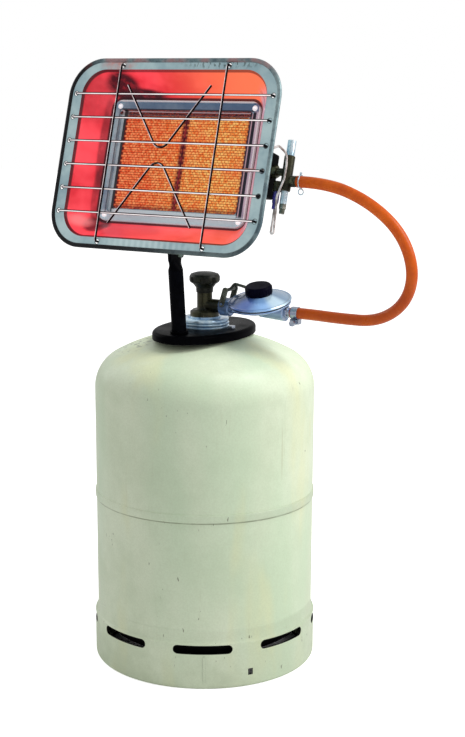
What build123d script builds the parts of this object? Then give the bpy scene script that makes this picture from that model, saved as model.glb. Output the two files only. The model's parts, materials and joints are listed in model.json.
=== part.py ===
"""A portable propane heater: an infrared burner head on a post, clamped to the neck of a gas cylinder.

Millimetres, +Z up. The origin is on the cylinder's axis, in the plane of the floor. The burner faces -Y,
the regulator and the hose are on +X. The head's own pieces are modelled upright about the middle of the
reflector's mouth, X right, Y backwards and Z up, and HEAD then tilts them back and lifts them to their place.
"""

from build123d import *
from math import atan2, cos, degrees, hypot, pi, radians, sin, sqrt, tan
import os

os.makedirs("parts", exist_ok=True)

# --- Clearances -------------------------------------------------------------------------------------------
SEAT = 0.05            # between pieces that are pressed, welded or screwed together
RUN = 0.06             # radial play of a turning or sliding fit
AIR = 0.4              # between pieces that move past each other

# --- Gas cylinder -----------------------------------------------------------------------------------------
TANK_R = 152.5         # outer radius of the pressed shells
TANK_WALL = 2.6
SEAM_Z = 239.0         # where the two shells meet
SHOULDER_Z = 389.0     # where the upper dished end begins
DOME_H = 77.0          # height of the upper dished end
KNUCKLE_R = 52.0       # knuckle radius of both dished ends
BELLY_Z = 84.0         # where the lower dished end begins
BELLY_H = 62.0         # depth of the lower dished end
JOGGLE_H = 10.0        # how far the lower shell reaches up inside the upper one
WELD_W = 12.0          # width of the seam's weld bead
WELD_PROUD = 1.5

RING_T = 3.0           # sheet of the foot ring
RING_LIP = 12.0        # how far its lower edge is turned inwards
RING_BEND_R = 6.0
RING_FLARE = 4.0       # how far the ring stands outside the cylinder
SLOT_COUNT = 8
SLOT_TURN = 30.0       # degrees that each slot spans
SLOT_LOW = 51.0        # underside of the slots above the floor
SLOT_H = 12.5
SLOT_START = -60.4     # direction of the first slot
DRAIN_TURN = -36.0     # direction of the small square hole
DRAIN_Z = 22.0
DRAIN_W = 7.0
DRAIN_H = 9.0
RING_WELD_TURN = -59.7
RING_WELD_W = 3.0

# --- Neck, plate and clamp --------------------------------------------------------------------------------
BOSS_R = 22.0          # threaded neck boss welded into the dome
BOSS_FLANGE_R = 30.0
BOSS_FLANGE_H = 2.0    # flange height above the crown of the dome
BOSS_TOP = 487.0
BOSS_BORE_R = 9.0
PLATE_LIFT = 3.0       # underside of the plate above the crown of the dome
PLATE_T = 3.0
PLATE_A = 62.0         # half width of the oval plate, along X
PLATE_B = 94.0         # half length, along Y
PLATE_SKIRT = 11.5     # height of the plate's turned-down edge, with the plate
PLATE_EDGE_R = 5.0
PAD_IN_R = 32.0        # rubber pad between plate and dome
PAD_OUT_R = 46.0
CLAMP_R = 34.0         # silver ring nut that holds the plate on the boss
CLAMP_H = 12.5
CLAMP_GROOVE = 2.2
STUD_R = 3.0           # bolts beside the ring nut that hold the pad
STUD_SPREAD = 43.0
STUD_HEAD_R = 5.5
STUD_HEAD_H = 4.0

# --- Cylinder valve ---------------------------------------------------------------------------------------
VALVE_BASE_R = 20.0
VALVE_BASE_H = 9.0
VALVE_COLUMN_R = 10.5
VALVE_TOP = 519.0
OUTLET_Z = 501.5       # height of the outlet and of the regulator's axis
OUTLET_R = 9.0
OUTLET_X = 27.0        # face of the outlet
OUTLET_BORE_R = 4.0
CHAMBER_R = 6.0
SEAT_Z = 497.0         # valve seat
INLET_BORE_R = 3.0
PLUG_H = 11.0
PLUG_TRAVEL = 4.0
TONGUE_T = 2.2         # blade of the spindle in the slot of the plug
SPINDLE_R = 4.0
GLAND_R = 8.6
GLAND_H = 7.0
KNOB_TOP = 547.0
KNOB_R = 21.0
KNOB_SKIRT_R = 12.0
KNOB_RECESS_R = 9.4
KNOB_FLUTES = 8
FLUTE_R = 4.0

# --- Regulator --------------------------------------------------------------------------------------------
COUPLING_R = 12.5      # clip-on coupling over the valve's outlet
COUPLING_L = 15.5
INLET_NECK_R = 8.0
REG_X = 88.0           # middle of the regulator
REG_LEAN = 13.0        # degrees that its disc leans towards the front
REG_R = 43.0           # flange radius
REG_BOWL_R = 33.0
REG_BOWL_H = 0.5
REG_FLANGE_H = 10.6    # height of the flange above the axis
REG_FLANGE_T = 2.2
DIAPHRAGM_T = 1.2
COVER_TOP_R = 19.5
COVER_RISE = 11.0
CAP_R = 18.5
CAP_H = 12.5
CAP_RIBS = 24
TAIL_X = 126.0         # end of the outlet boss
TAIL_R = 12.5
SPOUT_X = 134.0        # shoulder that the hose is pushed against
SPOUT_R = 7.0
SPOUT_ROOM_R = 8.8     # room for the spout's hexagon under the casting's flange

LEVER_PIN_X = 34.7
LEVER_PIN_Z = 507.0
LEVER_PIN_R = 1.8
LEVER_ARM_T = 2.0
LEVER_ARM_R = 4.0
LEVER_BAR_R = 2.4
LEVER_HANDLE_R = 2.0
LEVER_KNEE = (12.8, 27.0)      # knee of the handle, from the pin
LEVER_HEEL = (5.8, 19.0)       # cross bar, from the pin
LEVER_TIP = (30.5, 23.5)       # free end, from the pin

# --- Hose -------------------------------------------------------------------------------------------------
HOSE_R = 7.5
BAND_T = 0.9
BAND_W = 9.5
CLIP_WIRE_R = 0.8

# --- Post and tilt joint ----------------------------------------------------------------------------------
POST_R = 10.0
POST_WALL = 1.5
POST_FOOT_Y = -67.0
TONGUE_X = 5.0         # thickness of the post's flattened end
TONGUE_R = 13.5        # half its width, rounded about the bolt
FLATTEN_L = 16.0       # length over which the tube is pressed flat
PIVOT_LOCAL_Y = 68.0   # tilt bolt, in the head's own frame
PIVOT_LOCAL_Z = -106.0
TILT_BOLT_R = 4.0
EAR_T = 2.5
EAR_R = 11.0
BRACKET_W = 70.0
BRACKET_D = 26.0
WING_R = 15.0
WING_T = 3.0

# --- Burner head ------------------------------------------------------------------------------------------
HEAD_Y = -113.0
HEAD_Z = 712.0
HEAD_TILT = 17.0       # degrees that the head leans back at rest
RIM_A = 160.0          # half width and half height over the rolled rim
RIM_B = 127.0
RIM_CORNER = 50.0
RIM_BEAD_R = 2.9
FLANGE_Y = 5.4         # front face of the flat flange
SHEET = 1.2
FLANGE_W_A = 20.0      # from the rim's outside to the mouth, at the sides
FLANGE_W_B = 15.0      # and at the top and bottom
MOUTH_CORNER = 35.0
THROAT_Y = 48.0        # where the dish's lip carries the bezel
THROAT_A = 113.0
THROAT_B = 83.0
THROAT_CORNER = 14.0
WINDOW_A = 95.0        # window in the bezel
WINDOW_B = 63.5
WINDOW_CORNER = 4.0
BEZEL_T = 1.6
BEZEL_GAP = 0.8        # round the bezel, inside the dish
BEZEL_LIP = 2.8        # how far the bezel's outer edge stands forward
BEZEL_LIP_T = 2.0
SURROUND_A = 7.0       # recessed edge of the bezel between its inner wall and the window, at the sides
SURROUND_B = 6.0       # and at the top and bottom
SURROUND_T = 1.0
SURROUND_CORNER = 6.0
TUNNEL_L = 4.4         # depth of the bezel's inner wall, down to the plaques
SCREW_A = 103.0
SCREW_B = 74.0
SCREW_R = 2.0
SCREW_HEAD_R = 3.6
PLAQUE_LAP = 1.5       # how far the plaques reach behind the window's edge
PLAQUE_T = 13.0
PLAQUE_JOINT = 2.0
DIMPLE_PITCH = 12.0
BOX_A = 107.0
BOX_B = 77.0
BOX_BACK = 92.0
BOX_CORNER = 10.0
BOX_TAB_CORNER = 16.0  # inner corners of the flange, filled for the screws
SHELF_W = 13.0
VENTURI_R = 9.0
VENTURI_L = 170.0
VENTURI_MOUTH_R = 12.5
VENTURI_MOUTH_L = 6.0

# --- Wire guard -------------------------------------------------------------------------------------------
WIRE_R = 1.5
WIRE_HOLE_R = 3.0
WIRE_PITCH = 31.7
WIRE_COUNT = 6
WIRE_EDGE_A = 11.0     # from the rim's outside to the ends of the horizontal wires
UPRIGHT_A = 80.0
WIRE_EDGE_B = 9.5      # and to the ends of the upright wires
VEE_X = -6.0           # middle of the V wires
VEE_HALF = 63.0
VEE_END_B = 92.0       # height of their ends from the middle
VEE_POINT_B = 0.5      # where their legs would meet, before the bend
VEE_BEND_R = 13.0

# --- Flame failure valve ----------------------------------------------------------------------------------
VALVE_X = 145.0
VALVE_Y = 80.0
VALVE_LOW = -24.0
VALVE_HIGH = 22.0
VALVE_R = 7.0
BUTTON_R = 5.5
BUTTON_TOP = 42.0
BUTTON_STEM = 12.0     # length inside the body
BUTTON_TRAVEL = 6.0
SPRING_ROOM = 10.0     # free depth of the bore under the button
SPRING_WIRE_R = 0.6
SPRING_TURNS = 4
SPIGOT_Z = 0.5         # outlet to the injector, on the mixing tube's axis
SPIGOT_R = 5.0
NOZZLE_Z = -11.0
NOZZLE_R = 7.0
NOZZLE_X = 161.0
MAGNET_R = 4.6
MAGNET_LOW = -41.0
TEST_NUT_AF = 9.0
TEST_NUT_LOW = -53.6
TERMINAL_X = 133.5
TERMINAL_R = 4.3
TERMINAL_HIGH = -25.0
TERMINAL_LOW = -48.0
MOUNT_X = 123.0        # plate that carries the injector and the valve
MOUNT_T = 2.0
MOUNT_HIGH = 25.0
MOUNT_LOW = -34.0
MOUNT_D = 22.0
INJECTOR_R = 6.0
INJECTOR_NOSE = 6.0
INJECTOR_NUT_L = 6.5
INJECTOR_NUT_AF = 15.0
PROBE_Y = 30.0
PROBE_Z = -10.0
PROBE_R = 2.4
PROBE_NUT_AF = 9.0
PROBE_NUT_T = 3.0
PROBE_REACH = 16.4     # how far the probe stands inside the dish
PROBE_TAIL = 7.6       # and outside it
LEAD_R = 1.1
LEAD_ROOM = 28.0       # how far in front of the barrel the lead turns over
LEAD_OVER = 6.0        # how far above the barrel it turns over
LEAD_LOW = -80.0       # lowest point of its hairpin

# --- Worked out from the above ----------------------------------------------------------------------------
CROWN_Z = SHOULDER_Z + DOME_H
PLATE_LOW = CROWN_Z + PLATE_LIFT
PLATE_TOP = PLATE_LOW + PLATE_T
VALVE_BASE_TOP = BOSS_TOP + VALVE_BASE_H
HEAD = Location((0, HEAD_Y, HEAD_Z), (-HEAD_TILT, 0, 0))
FLANGE_BACK = FLANGE_Y + SHEET
MOUTH_A = RIM_A - FLANGE_W_A
MOUTH_B = RIM_B - FLANGE_W_B
WIRE_END_A = RIM_A - WIRE_EDGE_A
UPRIGHT_END_B = RIM_B - WIRE_EDGE_B
LIP_BACK = THROAT_Y + SHEET
WIRE_Y = FLANGE_Y - WIRE_R - SEAT
BOX_FLANGE_BACK = LIP_BACK + SEAT + SHEET
PLAQUE_FRONT = THROAT_Y + TUNNEL_L + SEAT
PLAQUE_BACK = PLAQUE_FRONT + PLAQUE_T
PLAQUE_A = WINDOW_A + PLAQUE_LAP
PLAQUE_B = WINDOW_B + PLAQUE_LAP


# --- Shared shapes ----------------------------------------------------------------------------------------
def turned(points):
    """Solid of revolution about Z from (radius, height) points."""
    return revolve(Plane.XZ * make_face(Polyline(*points, close=True)), Axis.Z)


def tube(outer, inner, low, high):
    """Upright round tube about Z."""
    return Pos(0, 0, low) * extrude(Circle(outer) - Circle(inner), high - low)


def rod(radius, low, high):
    """Upright round bar about Z."""
    return Pos(0, 0, low) * extrude(Circle(radius), high - low)


def hexagon(across, low, high):
    """Upright hexagonal bar about Z, by its size across flats."""
    return Pos(0, 0, low) * extrude(RegularPolygon(across / 2, 6, major_radius=False), high - low)


def along_x(shape, x, y, z):
    """Turn a shape's Z axis to +X and move its origin to the point."""
    return Pos(x, y, z) * (Rot(0, 90, 0) * shape)


def upright(sketch, y):
    """Stand a sketch up in the XZ plane at depth y."""
    return Plane(origin=(0, y, 0), x_dir=(1, 0, 0), z_dir=(0, -1, 0)) * sketch


def panel(sketch, front, back):
    """Upright slab between two depths."""
    return extrude(upright(sketch, front), amount=back - front, dir=(0, 1, 0))


def rounded(half_a, half_b, corner):
    """Rounded rectangle by its half sizes."""
    return RectangleRounded(2 * half_a, 2 * half_b, corner)


def wire_along(path, radius):
    """Round bar along a path of lines and arcs."""
    start = Plane(origin=path @ 0, z_dir=path % 0)
    return sweep(start * Circle(radius), path=path)


def corner_radii(points, share=0.45):
    """Arc radius for each corner of a route: a share of the shorter run over the tangent of half the turn."""
    spots = [Vector(*p) for p in points]
    radii = []
    for before, here, after in zip(spots, spots[1:], spots[2:]):
        turn = radians((here - before).get_angle(after - here))
        radii.append(share * min((here - before).length, (after - here).length) / tan(turn / 2))
    return radii


def in_head(y, z):
    """Row Y and Z of a point given in the head's own frame."""
    lean = radians(HEAD_TILT)
    return HEAD_Y + y * cos(lean) + z * sin(lean), HEAD_Z - y * sin(lean) + z * cos(lean)


def dished(radius, height, knuckle, skirt):
    """Solid dished end on a cylinder: a crown arc and a knuckle arc above z = 0, and a skirt below it."""
    crown = ((radius - knuckle) ** 2 + height**2 - knuckle**2) / (2 * (height - knuckle))
    lean = atan2(radius - knuckle, crown - height)
    middle = lean / 2
    joint = (crown * sin(lean), height - crown + crown * cos(lean))
    on_crown = (crown * sin(middle), height - crown + crown * cos(middle))
    outer = (lean + pi / 2) / 2
    on_knuckle = (radius - knuckle + knuckle * sin(outer), knuckle * cos(outer))
    outline = [
        ThreePointArc((0, height), on_crown, joint),
        ThreePointArc(joint, on_knuckle, (radius, 0)),
        Polyline((radius, 0), (radius, -skirt), (0, -skirt), (0, height)),
    ]
    return revolve(Plane.XZ * make_face(Curve() + outline), Axis.Z)


def dome_space():
    """Everything inside the upper dished end's outer face, to cut what rests on the dome."""
    return Pos(0, 0, SHOULDER_Z) * dished(TANK_R, DOME_H, KNUCKLE_R, DOME_H)


# --- Gas cylinder -----------------------------------------------------------------------------------------
def cylinder_upper_shell():
    """Upper half of the cylinder, with the hole for the neck boss."""
    skirt = SHOULDER_Z - SEAM_Z
    outside = dished(TANK_R, DOME_H, KNUCKLE_R, skirt)
    inside = dished(TANK_R - TANK_WALL, DOME_H - TANK_WALL, KNUCKLE_R - TANK_WALL, skirt)
    shell = Pos(0, 0, SHOULDER_Z) * (outside - inside)
    return shell - rod(BOSS_R + SEAT, SHOULDER_Z, CROWN_Z + DOME_H)


def cylinder_lower_shell():
    """Lower half, whose upper edge is joggled inwards to fit inside the upper half."""
    skirt = SEAM_Z - BELLY_Z
    outside = dished(TANK_R, BELLY_H, KNUCKLE_R, skirt)
    inside = dished(TANK_R - TANK_WALL, BELLY_H - TANK_WALL, KNUCKLE_R - TANK_WALL, skirt)
    shell = Pos(0, 0, BELLY_Z) * (Rot(180, 0, 0) * (outside - inside))
    tongue_r = TANK_R - TANK_WALL - SEAT
    slope = 3 * TANK_WALL
    joggle = turned([
        (TANK_R - TANK_WALL, SEAM_Z - slope), (TANK_R, SEAM_Z - TANK_WALL), (TANK_R, SEAM_Z),
        (tongue_r, SEAM_Z), (tongue_r, SEAM_Z + JOGGLE_H), (tongue_r - TANK_WALL, SEAM_Z + JOGGLE_H),
        (tongue_r - TANK_WALL, SEAM_Z - slope / 3),
    ])
    return shell + joggle


def seam_weld():
    """Raised bead of the weld round the seam."""
    low, high = (TANK_R, SEAM_Z - WELD_W / 2), (TANK_R, SEAM_Z + WELD_W / 2)
    arc = ThreePointArc(low, (TANK_R + WELD_PROUD, SEAM_Z), high)
    return revolve(Plane.XZ * make_face(Curve() + [arc, Line(high, low)]), Axis.Z)


def belly_height_at(radius):
    """Height of the lower dished end's outer face at a radius on its knuckle."""
    reach = radius - (TANK_R - KNUCKLE_R)
    return BELLY_Z - sqrt(KNUCKLE_R**2 - reach**2)


def foot_ring():
    """Foot ring welded under the belly: slots, a drain hole, a butt weld and an inturned lower edge."""
    ring_r, inner = TANK_R + RING_FLARE, TANK_R - RING_T
    top = belly_height_at(inner) - SEAT
    body = turned([(inner, top), (TANK_R - 0.5, top + 1.5), (ring_r, top - 2), (ring_r, 0),
                   (ring_r - RING_T - RING_LIP, 0), (ring_r - RING_T - RING_LIP, RING_T),
                   (ring_r - RING_T, RING_T), (ring_r - RING_T, top - RING_T - RING_FLARE),
                   (inner, top - RING_T)])
    foot_edge = body.edges().filter_by(GeomType.CIRCLE).group_by(Axis.Z)[0].sort_by(SortBy.RADIUS)[-1]
    body = fillet(foot_edge, RING_BEND_R)
    half = SLOT_TURN / 2 - degrees(SLOT_H / 2 / TANK_R)
    window = Pos(ring_r, 0) * Rectangle(4 * RING_T, SLOT_H)
    end = Rot(0, 90, 0) * Cylinder(SLOT_H / 2, 4 * RING_T)
    for number in range(SLOT_COUNT):
        turn = SLOT_START + number * 360 / SLOT_COUNT
        middle = Pos(0, 0, SLOT_LOW + SLOT_H / 2) * Rot(0, 0, turn - half)
        body -= middle * revolve(Plane.XZ * window, Axis.Z, revolution_arc=2 * half)
        body -= middle * (Pos(ring_r, 0, 0) * end)
        body -= middle * (Rot(0, 0, 2 * half) * (Pos(ring_r, 0, 0) * end))
    body -= Rot(0, 0, DRAIN_TURN) * (Pos(ring_r, 0, DRAIN_Z) * Box(4 * RING_T, DRAIN_W, DRAIN_H))
    weld_low, weld_high = 2 * RING_BEND_R, SLOT_LOW - RING_T
    weld = Box(RING_T, RING_WELD_W, weld_high - weld_low)
    body += Rot(0, 0, RING_WELD_TURN) * (Pos(ring_r - RING_T / 3, 0, (weld_low + weld_high) / 2) * weld)
    return body


# --- Neck, plate and clamp --------------------------------------------------------------------------------
def neck_boss():
    """Boss welded into the dome, with a flange that lies on it."""
    flange = rod(BOSS_FLANGE_R, SHOULDER_Z + DOME_H / 2, CROWN_Z + BOSS_FLANGE_H) - dome_space()
    stem = rod(BOSS_R, CROWN_Z - 3 * TANK_WALL, BOSS_TOP)
    return flange + stem - rod(BOSS_BORE_R, SHOULDER_Z, BOSS_TOP + 1)


def oval(inset, low, high, edge):
    """Oval block with a rounded upper edge."""
    block = Pos(0, 0, low) * extrude(Ellipse(PLATE_A - inset, PLATE_B - inset), high - low)
    return fillet(block.edges().group_by(Axis.Z)[-1], edge)


def stud_spots():
    """Places of the two plate bolts, one each side of the ring nut."""
    return [(STUD_SPREAD, 0), (-STUD_SPREAD, 0)]


def base_plate():
    """Oval pressed plate round the neck, with a turned-down edge."""
    low = PLATE_TOP - PLATE_SKIRT
    plate = oval(0, low, PLATE_TOP, PLATE_EDGE_R) - oval(PLATE_T, low - 1, PLATE_LOW, PLATE_EDGE_R - PLATE_T)
    plate -= rod(BOSS_R + AIR, low, PLATE_TOP + 1)
    for x, y in stud_spots():
        plate -= Pos(x, y, 0) * rod(STUD_R + SEAT, low, PLATE_TOP + 1)
    return plate


def plate_pad():
    """Rubber ring between the plate and the dome."""
    pad = tube(PAD_OUT_R, PAD_IN_R, SHOULDER_Z + DOME_H / 2, PLATE_LOW) - dome_space()
    for x, y in stud_spots():
        pad -= Pos(x, y, 0) * rod(STUD_HEAD_R, SHOULDER_Z, PLATE_LOW + 1)
    return pad


def plate_studs():
    """Two bolts beside the ring nut, with their heads on the plate."""
    studs = []
    for x, y in stud_spots():
        head = hexagon(2 * STUD_HEAD_R * cos(pi / 6), PLATE_TOP, PLATE_TOP + STUD_HEAD_H)
        studs.append(Pos(x, y, 0) * (head + rod(STUD_R, PLATE_LOW, PLATE_TOP + 1)))
    return Part() + studs


def clamp_ring():
    """Stepped ring nut on the boss that clamps the plate."""
    top, groove = PLATE_TOP + CLAMP_H, CLAMP_H / 6
    waist = CLAMP_R - CLAMP_GROOVE
    inner = BOSS_R + SEAT
    return turned([
        (inner, PLATE_TOP), (CLAMP_R, PLATE_TOP), (CLAMP_R, PLATE_TOP + groove),
        (waist, PLATE_TOP + 1.6 * groove), (CLAMP_R, PLATE_TOP + 2.2 * groove),
        (CLAMP_R, PLATE_TOP + 3 * groove), (waist, PLATE_TOP + 3.6 * groove),
        (CLAMP_R - CLAMP_GROOVE / 4, PLATE_TOP + 4.2 * groove), (CLAMP_R - CLAMP_GROOVE / 4, top - groove / 2),
        (CLAMP_R - CLAMP_GROOVE, top), (BOSS_R + CLAMP_GROOVE, top), (inner, top - CLAMP_GROOVE),
    ])


# --- Cylinder valve ---------------------------------------------------------------------------------------
def valve_body():
    """Brass body screwed into the boss, with its seat, its chamber and an outlet towards +X."""
    body = turned([
        (0, BOSS_TOP), (VALVE_BASE_R, BOSS_TOP), (VALVE_BASE_R, VALVE_BASE_TOP - 3),
        (VALVE_BASE_R - 4, VALVE_BASE_TOP), (VALVE_COLUMN_R + 1, VALVE_BASE_TOP),
        (VALVE_COLUMN_R, VALVE_BASE_TOP + 2), (VALVE_COLUMN_R, VALVE_TOP), (0, VALVE_TOP),
    ])
    body += rod(BOSS_BORE_R - SEAT, BOSS_TOP - 14, BOSS_TOP + 1)
    body += along_x(rod(OUTLET_R, 0, OUTLET_X), 0, 0, OUTLET_Z)
    body -= rod(CHAMBER_R, SEAT_Z, VALVE_TOP + 1)
    body -= rod(INLET_BORE_R, BOSS_TOP - 20, SEAT_Z + 1)
    return body - along_x(rod(OUTLET_BORE_R, 0, OUTLET_X + 1), 0, 0, OUTLET_Z)


def gland_top():
    """Height of the top of the gland nut."""
    return VALVE_TOP + GLAND_H


def valve_gland():
    """Gland nut that closes the chamber round the spindle."""
    nut = hexagon(2 * GLAND_R * cos(pi / 6), VALVE_TOP, gland_top())
    neck = rod(CHAMBER_R - SEAT, VALVE_TOP - 2, VALVE_TOP + 1)
    return nut + neck - rod(SPINDLE_R + RUN, VALVE_TOP - 3, gland_top() + 1)


def spindle_low():
    """Height of the spindle's shoulder above the plug at its highest."""
    return SEAT_Z + AIR + PLUG_H + PLUG_TRAVEL + AIR


def valve_spindle():
    """Spindle with a blade that turns the plug."""
    blade_low = SEAT_Z + AIR + PLUG_H - PLUG_TRAVEL
    stem = rod(SPINDLE_R, spindle_low(), KNOB_TOP - 4)
    blade = Pos(0, 0, (blade_low + spindle_low() + 1) / 2)
    return stem + blade * Box(2 * SPINDLE_R * cos(pi / 6), TONGUE_T, spindle_low() + 1 - blade_low)


def valve_plug():
    """Threaded plug that the spindle's blade turns, so that it rises off the seat."""
    low = SEAT_Z + AIR / 2
    plug = rod(CHAMBER_R - AIR / 2, low + 2, low + PLUG_H) + turned([
        (0, low), (INLET_BORE_R + 1, low), (CHAMBER_R - AIR / 2, low + 2), (0, low + 2)])
    slot_low = SEAT_Z + AIR + PLUG_H - 2 * PLUG_TRAVEL - AIR
    slot = Box(4 * CHAMBER_R, TONGUE_T + AIR, low + PLUG_H + 1 - slot_low)
    return plug - Pos(0, 0, (slot_low + low + PLUG_H + 1) / 2) * slot


def handwheel():
    """Fluted knob with a domed top and a tapering skirt over the gland nut."""
    low = VALVE_TOP + AIR
    head_low = KNOB_TOP - 16
    knob = turned([
        (0, low), (KNOB_SKIRT_R - 0.5, low), (KNOB_SKIRT_R, gland_top()), (KNOB_R - 5, head_low),
        (KNOB_R - 1, head_low + 2.5), (KNOB_R, head_low + 5), (KNOB_R, KNOB_TOP - 6),
        (KNOB_R - 2, KNOB_TOP - 2.5), (KNOB_R - 8, KNOB_TOP - 0.6), (0, KNOB_TOP),
    ])
    flute = Rot(0, 12, 0) * Cylinder(FLUTE_R, KNOB_TOP - head_low)
    for number in range(KNOB_FLUTES):
        knob -= Rot(0, 0, (number + 0.5) * 360 / KNOB_FLUTES) * (Pos(KNOB_R + 1, 0, head_low + 2) * flute)
    knob -= rod(KNOB_RECESS_R, low - 1, gland_top() + AIR + 1)
    return knob - rod(SPINDLE_R + SEAT, low, KNOB_TOP - 4 + SEAT)


# --- Regulator --------------------------------------------------------------------------------------------
def leaning(shape):
    """Put a regulator piece, modelled about its disc's axis, at its place and lean."""
    return Pos(REG_X, 0, OUTLET_Z) * (Rot(REG_LEAN, 0, 0) * shape)


def coupling_end():
    """X of the end of the clip-on coupling."""
    return OUTLET_X + SEAT + COUPLING_L


def regulator_coupling():
    """Clip-on coupling between the valve's outlet and the regulator, with trunnions for the lever."""
    start = OUTLET_X + SEAT
    body = along_x(rod(COUPLING_R, 0, COUPLING_L), start, 0, OUTLET_Z)
    body = chamfer(body.edges().filter_by(GeomType.CIRCLE), 1.2)
    pin = Rot(90, 0, 0) * Cylinder(LEVER_PIN_R, 2 * (COUPLING_R + AIR + LEVER_ARM_T + 1))
    return body + Pos(LEVER_PIN_X, 0, LEVER_PIN_Z) * pin


def bowl_solid():
    """Lower casting of the regulator about its disc's axis, below the diaphragm."""
    return turned([
        (0, -REG_BOWL_H), (REG_BOWL_R / 2, -REG_BOWL_H), (REG_BOWL_R - 6, 2.5 - REG_BOWL_H),
        (REG_BOWL_R, REG_FLANGE_H - REG_FLANGE_T - 1.5), (REG_R - 1, REG_FLANGE_H - REG_FLANGE_T),
        (REG_R - 1, REG_FLANGE_H), (0, REG_FLANGE_H),
    ])


def regulator_body():
    """Lower casting with the inlet neck and the outlet boss on the axis of the valve's outlet."""
    neck = along_x(rod(INLET_NECK_R, 0, REG_X - coupling_end() - SEAT), coupling_end() + SEAT, 0, OUTLET_Z)
    tail = along_x(Solid.make_cone(TAIL_R - 3, TAIL_R, TAIL_X - REG_X), REG_X, 0, OUTLET_Z)
    above = leaning(Pos(0, 0, REG_FLANGE_H + REG_R) * Box(8 * REG_R, 8 * REG_R, 2 * REG_R))
    bowl = leaning(bowl_solid()) - along_x(rod(SPOUT_ROOM_R, 0, REG_R), TAIL_X, 0, OUTLET_Z)
    return bowl + (neck + tail - above)


def regulator_diaphragm():
    """Edge of the diaphragm, clamped between casting and cover."""
    low = REG_FLANGE_H + SEAT
    return leaning(rod(REG_R - 1.4, low, low + DIAPHRAGM_T))


def cover_low():
    """Underside of the cover on the regulator's own axis."""
    return REG_FLANGE_H + DIAPHRAGM_T + 2 * SEAT


def regulator_cover():
    """Conical cover with a rolled edge."""
    low, top = cover_low(), cover_low() + COVER_RISE
    return leaning(turned([
        (0, low), (REG_R - 1.5, low), (REG_R, low + 0.8), (REG_R, low + 2.2), (REG_R - 1.5, low + 3.2),
        (REG_R - 3, low + 2.8), (REG_R - 5, low + 3.4), (COVER_TOP_R, top), (0, top),
    ]))


def regulator_cap():
    """Black plastic cap over the adjusting spring, ribbed round its side."""
    low = cover_low() + COVER_RISE + SEAT
    cap = turned([(0, low), (CAP_R - 1, low), (CAP_R, low + 2), (CAP_R, low + CAP_H - 3),
                  (CAP_R - 2.2, low + CAP_H), (0, low + CAP_H + 0.8)])
    for number in range(CAP_RIBS):
        groove = Pos(CAP_R + 0.3, 0, low + CAP_H / 2) * Cylinder(0.9, CAP_H - 6)
        cap -= Rot(0, 0, number * 360 / CAP_RIBS) * groove
    return leaning(cap)


def regulator_spout():
    """Hose tail: a hexagon against the casting and a shoulder for the hose."""
    length = SPOUT_X - TAIL_X - SEAT
    spout = hexagon(2 * SPOUT_R, 0, length / 2) + rod(SPOUT_R - 1, 0, length)
    return along_x(spout, TAIL_X + SEAT, 0, OUTLET_Z)


def coupling_lever():
    """Locking lever: two arms on the coupling's trunnions and a bent handle."""
    side = COUPLING_R + AIR
    pin = Vector(LEVER_PIN_X, 0, LEVER_PIN_Z)
    heel = pin + Vector(LEVER_HEEL[0], 0, LEVER_HEEL[1])
    knee = pin + Vector(LEVER_KNEE[0], 0, LEVER_KNEE[1])
    tip = pin + Vector(LEVER_TIP[0], 0, LEVER_TIP[1])
    length, turn = hypot(*LEVER_HEEL), degrees(atan2(LEVER_HEEL[0], LEVER_HEEL[1]))
    outline = SlotCenterToCenter(length, 2 * LEVER_ARM_R)
    arm = Pos(length / 2, 0, 0) * extrude(outline - Pos(-length / 2, 0) * Circle(LEVER_PIN_R + RUN), LEVER_ARM_T)
    bar = Rot(90, 0, 0) * Cylinder(LEVER_BAR_R, 2 * side + LEVER_ARM_T)
    lever = Pos(heel.X, 0, heel.Z) * bar
    for y in (-side - LEVER_ARM_T, side):
        plane = Plane(origin=(pin.X, y + LEVER_ARM_T, pin.Z), x_dir=(sin(radians(turn)), 0, cos(radians(turn))),
                      z_dir=(0, -1, 0))
        lever += plane.location * arm
    handle = wire_along(FilletPolyline(heel, knee, tip, radius=4), LEVER_HANDLE_R)
    return lever + fillet(handle.edges().filter_by(GeomType.CIRCLE).sort_by(Axis.X)[-1], LEVER_HANDLE_R / 2)


# --- Hose -------------------------------------------------------------------------------------------------
def hose_route():
    """Route of the hose, from the safety valve's nozzle round a loose loop to the regulator's spout."""
    nozzle_y, nozzle_z = in_head(VALVE_Y, NOZZLE_Z)
    return [
        (NOZZLE_X + SEAT, nozzle_y, nozzle_z),
        (205, nozzle_y, nozzle_z),
        (262, -37, 656),
        (303, -30, 619),
        (318, -22, 570),
        (303, -14, 527),
        (262, -7, 498),
        (206, -2, 497.5),
        (162, 0, OUTLET_Z),
        (SPOUT_X + SEAT, 0, OUTLET_Z),
    ]


def hose():
    """Orange gas hose, as straight runs joined by tangent arcs."""
    points = hose_route()
    radii = corner_radii(points)
    path = FilletPolyline(*points, radius=radii)
    print("hose arcs", [round(r) for r in radii], "length", round(path.length))
    return wire_along(path, HOSE_R)


def hose_band():
    """Worm drive clip at the regulator's end, with its screw below the hose."""
    inner = HOSE_R + SEAT
    band = along_x(tube(inner + BAND_T, inner, 0, BAND_W), SPOUT_X + 2, 0, OUTLET_Z)
    middle = SPOUT_X + 2 + BAND_W / 2
    low = OUTLET_Z - inner - BAND_T
    housing = Pos(middle, 0, low - 3) * Box(BAND_W + 3, 10, 6.6)
    housing = fillet(housing.edges().filter_by(Axis.X), 1.2)
    screw = Pos(middle, 0, low - 4) * (Rot(90, 0, 0) * Cylinder(3.6, 17))
    head = Pos(middle, -8, low - 4) * (Rot(90, 0, 0) * extrude(RegularPolygon(4.4, 6), 4))
    return band + (housing + screw + head - along_x(rod(inner + BAND_T / 2, 0, 40), SPOUT_X - 10, 0, OUTLET_Z))


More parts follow.
